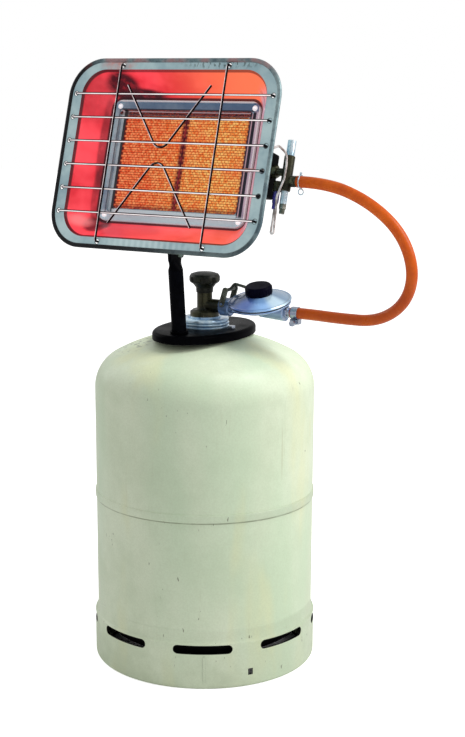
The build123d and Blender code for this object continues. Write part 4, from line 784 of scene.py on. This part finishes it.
# Bright plating: near-white edges are a painted glint and dark hollows a painted shade.
SILVER = Finish("Bright plating", "plated_steel", srgb(232, 244, 250), srgb(150, 182, 202), metallic=0.5,
                roughness=0.2, cloud=60.0, wear_and_glint=0.5, bare_and_glint=srgb(250, 252, 254), coat=0.4, dirt_and_shade=0.5)
FIBRE = FibrePacking("Ceramic fibre", "ceramic_fibre", srgb(214, 206, 190), srgb(150, 136, 118), roughness=0.95,
                     cloud=120.0, grain=900.0, depth=0.0006, shine=0.5)
# Near-white screw heads with a painted glow, a painted highlight.
SCREW = Finish("Screw heads", "plated_steel", srgb(254, 254, 255), srgb(232, 236, 242), metallic=0.1,
               roughness=0.3, cloud=90.0, coat=0.4, shine=0.45)
# Reflector wall painted with the reflection of the plaques' glow.
REFLECTOR = GlowReflectionPaint("Reflector wall, painted glow reflection", "reflector_steel", srgb(250, 70, 80), srgb(90, 30, 34),
                             metallic=0.3, roughness=0.32, grain=300.0, shine=0.80)
HOT = GlowingCeramic("Glowing ceramic ribs", "glowing_ceramic", srgb(250, 150, 70), srgb(120, 50, 30),
                     roughness=0.9, shine=0.65)
HOT_DEEP = GlowingCeramic("Glowing ceramic between the ribs", "glowing_ceramic", srgb(160, 40, 20),
                          srgb(50, 16, 12), roughness=0.95, shine=0.5, rib=False)
HOSE = HoseRubber("Orange hose rubber", "orange_hose", srgb(232, 104, 6), srgb(204, 78, 2), roughness=0.34,
                  cloud=26.0, grain=300.0, specular=0.3)


# --- Making pieces ----------------------------------------------------------------------------------------


def stand(name: str, data: Any) -> bpy.types.Object:
    """Object with this name and data, linked to the scene."""
    made = bpy.data.objects.new(name, data)
    bpy.context.scene.collection.objects.link(made)
    return made


def mesh_from(name: str, work: bmesh.types.BMesh) -> bpy.types.Mesh:
    """Mesh of a bmesh, which is freed."""
    mesh = bpy.data.meshes.new(name)
    work.to_mesh(mesh)
    work.free()
    return mesh


def head_point(x: float, y: float, z: float) -> Vector:
    """Row point in millimetres of a point in the head's own frame."""
    return (HEAD_PLACE @ Vector((x, y, z))) / MM


class Workshop:
    """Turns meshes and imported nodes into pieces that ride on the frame's bodies."""

    def __init__(self, frame: dict[str, Any]) -> None:
        """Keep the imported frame."""
        self.nodes: dict[str, bpy.types.Object] = frame["nodes"]
        self.bodies = {n: b for b, group in frame["record"]["behaviour"]["bodies"].items() for n in group}
        self.dressed: set[str] = set()
        self.pieces: dict[Body, list[bpy.types.Object]] = {body: [] for body in Body}

    def finish(self, name: str, work: bmesh.types.BMesh, body: Body, finishes: Sequence[Finish], angle: float,
               replaces: Sequence[str] = (), place: Matrix = TO_METRES) -> bpy.types.Object:
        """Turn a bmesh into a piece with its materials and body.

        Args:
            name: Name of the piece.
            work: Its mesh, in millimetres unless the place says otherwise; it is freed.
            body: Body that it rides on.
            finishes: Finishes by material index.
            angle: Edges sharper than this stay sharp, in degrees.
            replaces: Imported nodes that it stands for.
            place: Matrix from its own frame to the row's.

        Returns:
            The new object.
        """
        bmesh.ops.transform(work, matrix=place, verts=work.verts)
        mesh = mesh_from(name, work)
        for label in ("custom_normal", "sharp_edge", "sharp_face"):
            layer = mesh.attributes.get(label)
            if layer is not None:
                mesh.attributes.remove(layer)
        mesh.shade_smooth()
        mesh.set_sharp_from_angle(angle=math.radians(angle))
        piece = stand(name, mesh)
        for finish in finishes:
            mesh.materials.append(finish.material())
        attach(piece, body.value)
        self.pieces[body].append(piece)
        if replaces:
            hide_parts(*replaces)
            self.dressed.update(replaces)
        LOG.info("piece %s on %s, in place of %s", name, body.value, list(replaces) or "nothing")
        return piece

    def bridge(self, piece: bpy.types.Object, node: str, finish: Finish, bodies: tuple[Body, Body]) -> None:
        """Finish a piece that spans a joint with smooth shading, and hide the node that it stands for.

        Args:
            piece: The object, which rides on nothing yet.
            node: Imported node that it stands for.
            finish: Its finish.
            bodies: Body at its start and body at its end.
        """
        piece.data.shade_smooth()
        piece.data.materials.append(finish.material())
        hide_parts(node)
        self.dressed.add(node)
        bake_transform(piece)
        LOG.info("piece %s blends from %s to %s", piece.name, bodies[0].value, bodies[1].value)

    def merged(self, node: str) -> bmesh.types.BMesh:
        """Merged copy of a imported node's mesh, with its flat faces whole, in metres."""
        work = bmesh.new()
        work.from_mesh(self.nodes[node].data)
        bmesh.ops.remove_doubles(work, verts=work.verts, dist=2e-6)
        bmesh.ops.dissolve_limit(work, angle_limit=math.radians(0.5), verts=work.verts, edges=work.edges)
        return work

    def refit(self, node: str, finish: Finish | Sequence[Finish], bevel: float,
              sort: Callable[[Any], int] | None = None, swell: float = 0.0) -> None:
        """Stand a smooth, edge-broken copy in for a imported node.

        Args:
            node: Name of the node.
            finish: Its finish, or one for each material index.
            bevel: Width of the broken edges in millimetres, or nought.
            sort: Gives the material index of a face.
            swell: How much thicker the skin is than the node, in millimetres, all round.
        """
        finishes = [finish] if isinstance(finish, Finish) else finish
        work = self.merged(node)
        if swell > 0.0:
            work.normal_update()
            for vert in work.verts:
                vert.co += vert.normal * swell * MM
        if sort is not None:
            for face in work.faces:
                face.material_index = sort(face)
        body = Body(self.bodies[node])
        piece = self.finish(node + ".skin", work, body, finishes, BREAK_ANGLE, [node], Matrix())
        if bevel > 0.0:
            breaker = piece.modifiers.new("Broken edges", "BEVEL")
            breaker.width = bevel * MM
            breaker.segments = 2
            breaker.limit_method = "ANGLE"
            breaker.angle_limit = math.radians(BREAK_ANGLE)
            breaker.harden_normals = True
            breaker.miter_outer = "MITER_ARC"


def turned(outline: Sequence[tuple[float, float]], steps: int) -> bmesh.types.BMesh:
    """Closed skin of a piece turned about Z.

    Args:
        outline: Radius and height of the closed half outline's points, in millimetres.
        steps: Number of steps round.

    Returns:
        The mesh.
    """
    work = bmesh.new()
    verts = [work.verts.new((radius, 0.0, height)) for radius, height in [*outline, outline[0]]]
    for first, second in zip(verts, verts[1:]):
        work.edges.new((first, second))
    bmesh.ops.spin(work, geom=work.verts[:] + work.edges[:], cent=(0.0, 0.0, 0.0), axis=(0.0, 0.0, 1.0),
                   dvec=(0.0, 0.0, 0.0), angle=math.tau, steps=steps, use_merge=True)
    bmesh.ops.remove_doubles(work, verts=work.verts, dist=0.001)
    bmesh.ops.recalc_face_normals(work, faces=work.faces)
    return work


def smooth_bar(name: str, points: Sequence[Point], radius: float) -> bpy.types.Object:
    """Round NURBS bar along control points, all in metres."""
    curve = bpy.data.curves.new(name, "CURVE")
    curve.dimensions = "3D"
    curve.bevel_depth = radius
    curve.bevel_resolution = 10
    curve.use_fill_caps = True
    curve.resolution_u = 16
    spline = curve.splines.new("NURBS")
    spline.points.add(len(points) - 1)
    for spot, point in zip(spline.points, points):
        spot.co = (*point, 1.0)
    spline.order_u = 3
    spline.use_endpoint_u = True
    return stand(name, curve)


def mesh_of(piece: bpy.types.Object, name: str) -> bpy.types.Mesh:
    """Mesh of a curve as it stands, with its joints merged."""
    bpy.context.view_layer.update()
    mesh = bpy.data.meshes.new_from_object(piece.evaluated_get(bpy.context.evaluated_depsgraph_get()))
    mesh.name = name
    work = bmesh.new()
    work.from_mesh(mesh)
    bmesh.ops.remove_doubles(work, verts=work.verts, dist=1e-6)
    bmesh.ops.recalc_face_normals(work, faces=work.faces)
    work.to_mesh(mesh)
    work.free()
    return mesh


# --- Sub-assemblies ---------------------------------------------------------------------------------------


@dataclass
class Assembly:
    """Group of pieces, of which the plain ones need a finish and broken edges of a width in millimetres."""

    plain: dict[str, tuple[Finish, float]] = field(default_factory=dict)

    def build(self, shop: Workshop) -> None:
        """Build the group's plain pieces."""
        for node, (finish, bevel) in self.plain.items():
            shop.refit(node, finish, bevel)


@dataclass
class GasCylinder(Assembly):
    """Pressed shells, their seam weld and the slotted foot ring."""

    weld_radius: float = 152.5
    weld_height: float = 239.0
    weld_width: float = 12.0
    weld_proud: float = 1.5
    weld_root: float = 1.0
    ripple: float = 0.05
    ripples: int = 150
    inset: float = 2.6
    cut_facing: float = 0.7
    ring_top: float = 66.7
    slots: tuple[float, float] = (14.0, 65.0)

    def build(self, shop: Workshop) -> None:
        """Build the cylinder's pieces."""
        inside = self.weld_radius - self.inset

        def ring_part(face: Any) -> int:
            """One for the ring's inner faces and the slots' cut faces, which take the painted shade."""
            spot = face.calc_center_median()
            outward = (face.normal.x * spot.x + face.normal.y * spot.y) / max(spot.xy.length, MM)
            cut = abs(outward) < self.cut_facing and self.slots[0] * MM < spot.z < self.slots[1] * MM
            return 1 if outward < -0.05 or cut else 0

        def belly_part(face: Any) -> int:
            """One for the belly inside the foot ring, which takes the painted shade."""
            spot = face.calc_center_median()
            return 1 if spot.xy.length < inside * MM and spot.z < self.ring_top * MM else 0

        shop.refit("cylinder_upper_shell", PAINT, 0.0)
        shop.refit("cylinder_lower_shell", [PAINT, SHADE_INSIDE], 0.0, belly_part)
        shop.refit("foot_ring", [PAINT, SHADE_INSIDE], 0.6, ring_part)
        self.seam(shop)
        self.joint(shop)

    def joint(self, shop: Workshop) -> None:
        """Painted fillet that runs the foot ring's top into the belly."""
        hollow = ((1.9, -1.2), (1.1, 0.15), (0.5, 2.3), (0.25, 5.3), (0.12, 9.3), (0.05, 13.8), (0.0, 17.3))
        buried = ((-0.8, 17.8), (-1.6, -1.2))
        outline = [(self.weld_radius + out, self.ring_top + up) for out, up in hollow + buried]
        shop.finish("foot_ring.fillet", turned(outline, 192), Body.ROOT, [PAINT], 70.0)

    def seam(self, shop: Workshop) -> None:
        """Weld bead with the ripples of the torch."""
        half, proud = self.weld_width / 2, self.weld_proud
        side = ((-0.2, half), (proud * 0.8, half - 1.0), (proud, half - 2.6))
        outline = [(self.weld_radius + out, self.weld_height - up) for out, up in side]
        outline += [(self.weld_radius + out, self.weld_height + up) for out, up in reversed(side)]
        outline += [(self.weld_radius - self.weld_root, self.weld_height + up) for up in (half, -half)]
        bead = turned(outline, 4 * self.ripples)
        for vert in bead.verts:
            turn = math.atan2(vert.co.y, vert.co.x)
            if vert.co.xy.length > self.weld_radius + 0.3:
                swell = self.ripple * math.sin(self.ripples * turn + 0.12 * (vert.co.z - self.weld_height) ** 2)
                vert.co.xy *= 1.0 + (swell - self.ripple) / self.weld_radius
        shop.finish("seam_weld_bead", bead, Body.ROOT, [PAINT], 60.0, ["cylinder_seam_weld"])


@dataclass
class Neck(Assembly):
    """Boss, clamp plate, ring nut, the cylinder valve with its knob, and the post."""

    plain: dict[str, tuple[Finish, float]] = field(default_factory=lambda: {
        "neck_boss": (RING, 0.3), "plate_pad": (RUBBER, 0.3), "base_plate": (BLACK, 0.4),
        "plate_studs": (PLATED, 0.4), "clamp_ring": (RING, 0.35), "valve_body": (DARK_BRASS, 0.4),
        "valve_gland": (DARK_BRASS, 0.3), "valve_spindle": (BRASS, 0.2), "valve_plug": (BRASS, 0.2),
        "handwheel": (KNOB, 0.8), "post": (BLACK, 0.4), "post_collar": (BLACK, 0.5),
        "tilt_bracket": (BLACK, 0.4), "tilt_bolt": (LEVER, 0.3), "wing_nut": (LEVER, 0.4),
    })


@dataclass
class Regulator(Assembly):
    """Clip-on coupling, castings, cap, lever and hose tail."""

    plain: dict[str, tuple[Finish, float]] = field(default_factory=lambda: {
        "regulator_coupling": (CASTING, 0.4), "regulator_body": (CASTING, 0.5),
        "regulator_diaphragm": (RUBBER, 0.2), "regulator_cover": (CASTING, 0.4), "regulator_cap": (CAP, 0.5),
        "regulator_spout": (PLATED, 0.3), "coupling_lever": (LEVER, 0.25), "hose_band": (PLATED, 0.25),
    })


@dataclass
class GasHose(Assembly):
    """Orange hose in a loose loop from the flame failure valve's nozzle to the regulator."""

    radius: float = 7.5
    outlet: float = 501.5
    nozzle: Point = (161.05, 80.0, -11.0)
    spout: float = 134.05

    def route(self) -> list[Point]:
        """Route's points in metres."""
        first = head_point(*self.nozzle)
        points = [
            (first.x, first.y, first.z), (205, first.y, first.z), (262, -37, 656), (303, -30, 619),
            (318, -22, 570), (303, -14, 527), (262, -7, 501), (206, -2, 500), (162, 0, self.outlet),
            (self.spout, 0, self.outlet),
        ]
        return [(x * MM, y * MM, z * MM) for x, y, z in points]

    def build(self, shop: Workshop) -> None:
        points = self.route()
        guide = smooth_bar("gas_hose.guide", points, self.radius * MM)
        hose = stand("gas_hose", mesh_of(guide, "gas_hose"))
        guide.data.bevel_depth = 0.0
        path = [tuple(vert.co) for vert in mesh_of(guide, "gas_hose.line").vertices]
        bpy.data.objects.remove(guide)
        shop.bridge(hose, "hose", HOSE, (Body.HEAD, Body.ROOT))


@dataclass
class BurnerHead(Assembly):
    """Reflector, bezel, plaques, plenum and the wire guard."""

    throat: float = 48.0
    mouth: float = 5.4
    window: tuple[float, float] = (95.0, 63.5)
    room: tuple[float, float] = (102.0, 69.5)
    rim: tuple[float, float] = (154.2, 121.2)
    rim_corner: float = 44.0
    rim_return: float = 4.0
    plaque_front: float = 52.45
    plaque_back: float = 65.45
    joint: float = 2.0
    lap: float = 1.5
    margin: float = 0.9
    rib_pitch: tuple[float, float] = (5.4, 3.35)
    rib_size: tuple[float, float] = (4.8, 2.6)
    rib_height: float = 0.9
    rib_taper: tuple[float, float] = (0.78, 0.66)
    plain: dict[str, tuple[Finish, float]] = field(default_factory=lambda: {
        "bezel_screws": (SCREW, 0.25), "burner_box": (STEEL, 0.3), "mixing_tube": (PLATED, 0.2),
        "plaque_gasket": (FIBRE, 0.3),
        "guard_horizontals": (WIRE, 0.0), "guard_uprights": (DARK_WIRE, 0.0), "guard_vees": (DARK_WIRE, 0.0),
    })

    def build(self, shop: Workshop) -> None:
        """Build the head's pieces."""
        super().build(shop)
        back = HEAD_PLACE.inverted()
        turn = back.to_3x3().normalized()

        def dish_part(face: Any) -> int:
            """Nought for the flange and the back, one for the inside with the painted glow reflection, two for the
            rolled rim.
            """
            spot, normal = back @ face.calc_center_median(), turn @ face.normal
            inward = -(normal.x * spot.x + normal.z * spot.z)
            wide, high = abs(spot.x) - self.rim[0], abs(spot.z) - self.rim[1]
            corner = Vector((wide + self.rim_corner, high + self.rim_corner))
            beyond = max(wide, high)
            if min(corner) > 0.0:
                beyond = max(beyond, corner.length - self.rim_corner)
            deep = self.mouth + 0.4 < spot.y < self.throat + 0.1 and beyond < -self.rim_return
            if deep and (inward > 2.0 or normal.y < FORWARD):
                return 1
            return 2 if beyond > 0.0 else 0

        def bezel_part(face: Any) -> int:
            """One for the wall and the recessed edge round the plaques."""
            spot, normal = back @ face.calc_center_median(), turn @ face.normal
            if normal.y < FORWARD and spot.y < self.throat - 0.5:
                return 0
            return 1 if abs(spot.x) < self.room[0] + 0.3 and abs(spot.z) < self.room[1] + 0.3 else 0

        shop.refit("reflector_dish", [STEEL, REFLECTOR, EDGE], 0.25, dish_part)
        shop.refit("burner_bezel", [BEZEL, RECESS_EDGE], 0.35, bezel_part)
        self.plaque(shop, -1, "plaque_left")
        self.plaque(shop, 1, "plaque_right")

    def plaque(self, shop: Workshop, side: int, node: str) -> None:
        """Ceramic plaque whose face is broken into rows of ribs, like laid bricks.

        Args:
            shop: The workshop.
            side: -1 for the left plaque, 1 for the right one.
            node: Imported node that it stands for.
        """
        high = 2 * (self.window[1] + self.lap)
        inner = self.joint / 2 - self.margin
        width = self.window[0] + self.lap - inner
        front = self.plaque_front + self.rib_height
        work = bmesh.new()
        block = Matrix.Translation((side * (inner + width / 2), (front + self.plaque_back) / 2, 0.0))
        size = Matrix.Diagonal((width, self.plaque_back - self.plaque_front - self.rib_height, high, 1.0))
        bmesh.ops.create_cube(work, size=1.0, matrix=block @ size)
        for face in work.faces:
            face.material_index = 1
        across, up = self.rib_pitch
        rows = int(high / up)
        for row in range(rows):
            shift = across / 2 if row % 2 else 0.0
            for column in range(int((width - shift - self.margin) / across)):
                x = side * (inner + shift + (column + 0.5) * across + self.margin)
                self.rib(work, x, (row - (rows - 1) / 2) * up)
        shop.finish(node + ".ribbed", work, Body.HEAD, [HOT, HOT_DEEP], 20.0, [node], HEAD_PLACE)

    def rib(self, work: bmesh.types.BMesh, x: float, z: float) -> None:
        """One raised rib on the plaque's face, tapering to its top."""
        y = self.plaque_front + self.rib_height
        spot = Matrix.Translation((x, y, z)) @ Matrix.Rotation(math.pi / 2, 4, "X")
        size = Matrix.Diagonal((*self.rib_size, 1.0, 1.0))
        made = bmesh.ops.create_grid(work, x_segments=1, y_segments=1, size=0.5, matrix=spot @ size)
        base = list({face for vert in made["verts"] for face in vert.link_faces})
        top = bmesh.ops.extrude_face_region(work, geom=base)["geom"]
        bmesh.ops.delete(work, geom=base, context="FACES_ONLY")
        verts = [item for item in top if isinstance(item, bmesh.types.BMVert)]
        bmesh.ops.translate(work, vec=(0.0, -self.rib_height, 0.0), verts=verts)
        taper = (self.rib_taper[0], 1.0, self.rib_taper[1])
        bmesh.ops.scale(work, vec=taper, verts=verts, space=Matrix.Translation((-x, -y, -z)))


@dataclass
class FlameFailureValve(Assembly):
    """Barrel with its push button, magnet housing, terminal and thermocouple."""

    braid: float = 0.35
    plain: dict[str, tuple[Finish, float]] = field(default_factory=lambda: {
        "valve_mount": (BLACK, 0.4), "injector": (DARK_BRASS, 0.3), "safety_valve_body": (DARK_BRASS, 0.4),
        "push_button": (SILVER, 0.3), "hose_nozzle": (DARK_BRASS, 0.3),
        "magnet_unit": (SILVER, 0.3), "test_nut": (LEVER, 0.3), "terminal_nut": (BLUED, 0.3),
        "thermocouple": (PLATED, 0.2), "thermocouple_lead": (LEAD, 0.0), "hose_clip": (SILVER, 0.0),
    })

    def build(self, shop: Workshop) -> None:
        """Build the valve's pieces."""
        for node, (finish, bevel) in self.plain.items():
            shop.refit(node, finish, bevel, swell=self.braid if node == "thermocouple_lead" else 0.0)
        self.spring(shop)

    def spring(self, shop: Workshop) -> None:
        """Coil between the barrel and the push button, a merged copy of the node's mesh."""
        work = shop.merged("button_spring")
        coil = stand("button_spring.coil", mesh_from("button_spring.coil", work))
        shop.bridge(coil, "button_spring", SPRING, (Body.HEAD, Body.BUTTON))


# --- Studio -----------------------------------------------------------------------------------------------


@dataclass(frozen=True)
class Studio:
    """Pale floor, soft lamps and the camera."""

    azimuth: float = 30.6
    pitch: float = 13.0
    distance: float = 2.1
    target: float = 0.35
    lens: float = 73.25
    shift: tuple[float, float] = (0.0378, 0.0588)
    lamp_target: float = 0.4
    floor_size: float = 16.0
    foot_radius: float = 0.146
    white: float = 1.0
    ambient: float = 0.60
    mirrored: float = 0.62
    lift: float = 0.72
    dome: float = 16.5

    def aim(self, thing: bpy.types.Object, azimuth: float, pitch: float, reach: float, target: float) -> None:
        """Place a camera or lamp so that it looks at the object's axis.

        Args:
            thing: The camera or lamp.
            azimuth: Degrees from the -Y side towards +X.
            pitch: Degrees above the floor.
            reach: Distance from the target in metres.
            target: Height that it looks at.
        """
        side, up = math.radians(azimuth), math.radians(pitch)
        away = Vector((math.sin(side) * math.cos(up), -math.cos(side) * math.cos(up), math.sin(up)))
        centre = Vector((0.0, 0.0, target))
        thing.location = centre + away * reach
        thing.rotation_euler = (centre - thing.location).to_track_quat("-Z", "Y").to_euler()

    def camera(self) -> None:
        """Camera that looks at the middle of the object."""
        data = bpy.data.cameras.new("camera")
        data.lens = self.lens
        data.shift_x, data.shift_y = self.shift
        data.clip_end = 60.0
        camera = stand("camera", data)
        self.aim(camera, self.azimuth, self.pitch, self.distance, self.target)
        bpy.context.scene.camera = camera

    def floor(self) -> None:
        """Pale floor that keeps the shadow."""
        work = bmesh.new()
        bmesh.ops.create_grid(work, x_segments=8, y_segments=8, size=self.floor_size / 2)
        floor = stand("floor", mesh_from("floor", work))
        made = bpy.data.materials.new("Pale floor")
        sheet = Sheet(made)
        shader = sheet.add("BsdfPrincipled", {"Base Color": srgb(246, 246, 246), "Roughness": 0.9})
        seen = sheet.add("LightPath").outputs["Is Camera Ray"]
        far = sheet.length(sheet.place(sheet.own(), scale=(1.0, 1.0, 0.0)))
        shown = sheet.times(seen, sheet.maths("GREATER_THAN", far, self.foot_radius), self.lift)
        lift = sheet.add("Emission", {"Color": WHITE, "Strength": shown})
        both = sheet.add("AddShader", {0: shader.outputs[0], 1: lift.outputs[0]})
        sheet.add("OutputMaterial", {0: both.outputs[0]})
        floor.data.materials.append(made)

    def world(self) -> None:
        """White surroundings, dimmer as a light than as a background."""
        world = bpy.data.worlds.new("surroundings")
        sheet = Sheet(world)
        path = sheet.add("LightPath")
        shown = sheet.most(path.outputs["Is Camera Ray"], path.outputs["Is Transmission Ray"])
        dim = sheet.ramp(path.outputs["Is Glossy Ray"], 0.0, 1.0, self.ambient, self.mirrored)
        strength = sheet.most(sheet.times(shown, self.white), dim)
        back = sheet.add("Background", {"Color": WHITE, "Strength": strength})
        sheet.add("OutputWorld", {0: back.outputs[0]})
        bpy.context.scene.world = world

    def lamp(self, name: str, azimuth: float, pitch: float, reach: float, size: float,
             power: float) -> bpy.types.Object:
        """Square soft lamp with a side in metres and a power in watts, placed as aim says."""
        data = bpy.data.lights.new(name, "AREA")
        data.shape = "SQUARE"
        data.size = size
        data.energy = power
        lamp = stand(name, data)
        self.aim(lamp, azimuth, pitch, reach, self.lamp_target)
        return lamp

    def dome_lamp(self, shades: Iterable[bpy.types.Object]) -> None:
        """Soft lamp above the right that lights the cylinder, the regulator and the ring nut alone.

        Args:
            shades: Pieces that keep their shadow in its light.
        """
        lamp = self.lamp("dome softbox", 104.0, 62.0, 1.7, 0.8, self.dome)
        lit, shading = bpy.data.collections.new("dome lit"), bpy.data.collections.new("dome shades")
        for piece in shades:
            shading.objects.link(piece)
            if piece.name.startswith(("cylinder", "regulator_cover", "regulator_body", "clamp_ring")):
                lit.objects.link(piece)
        lamp.light_linking.receiver_collection = lit
        lamp.light_linking.blocker_collection = shading

    def build(self) -> None:
        """Build the studio."""
        self.camera()
        self.floor()
        self.world()
        self.lamp("right softbox", 104.0, 32.0, 2.2, 1.3, 24.0)
        self.lamp("left softbox", -92.0, 26.0, 2.0, 1.2, 6.0)
        bpy.context.scene.view_settings.view_transform = "Standard"


def main() -> None:
    """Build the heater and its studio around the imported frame."""
    logging.basicConfig(level=logging.INFO, format="%(name)s: %(message)s")
    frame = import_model()
    studio = Studio()
    studio.build()
    shop = Workshop(frame)
    for assembly in (GasHose(), GasCylinder(), Neck(), Regulator(), BurnerHead(), FlameFailureValve()):
        LOG.info("building %s", type(assembly).__name__)
        assembly.build(shop)
    studio.dome_lamp(shop.pieces[Body.ROOT])
    left = sorted(set(shop.nodes) - shop.dressed)
    LOG.info("packed nodes that show as they are: %s", left or "none")


if __name__ == "__main__":
    main()
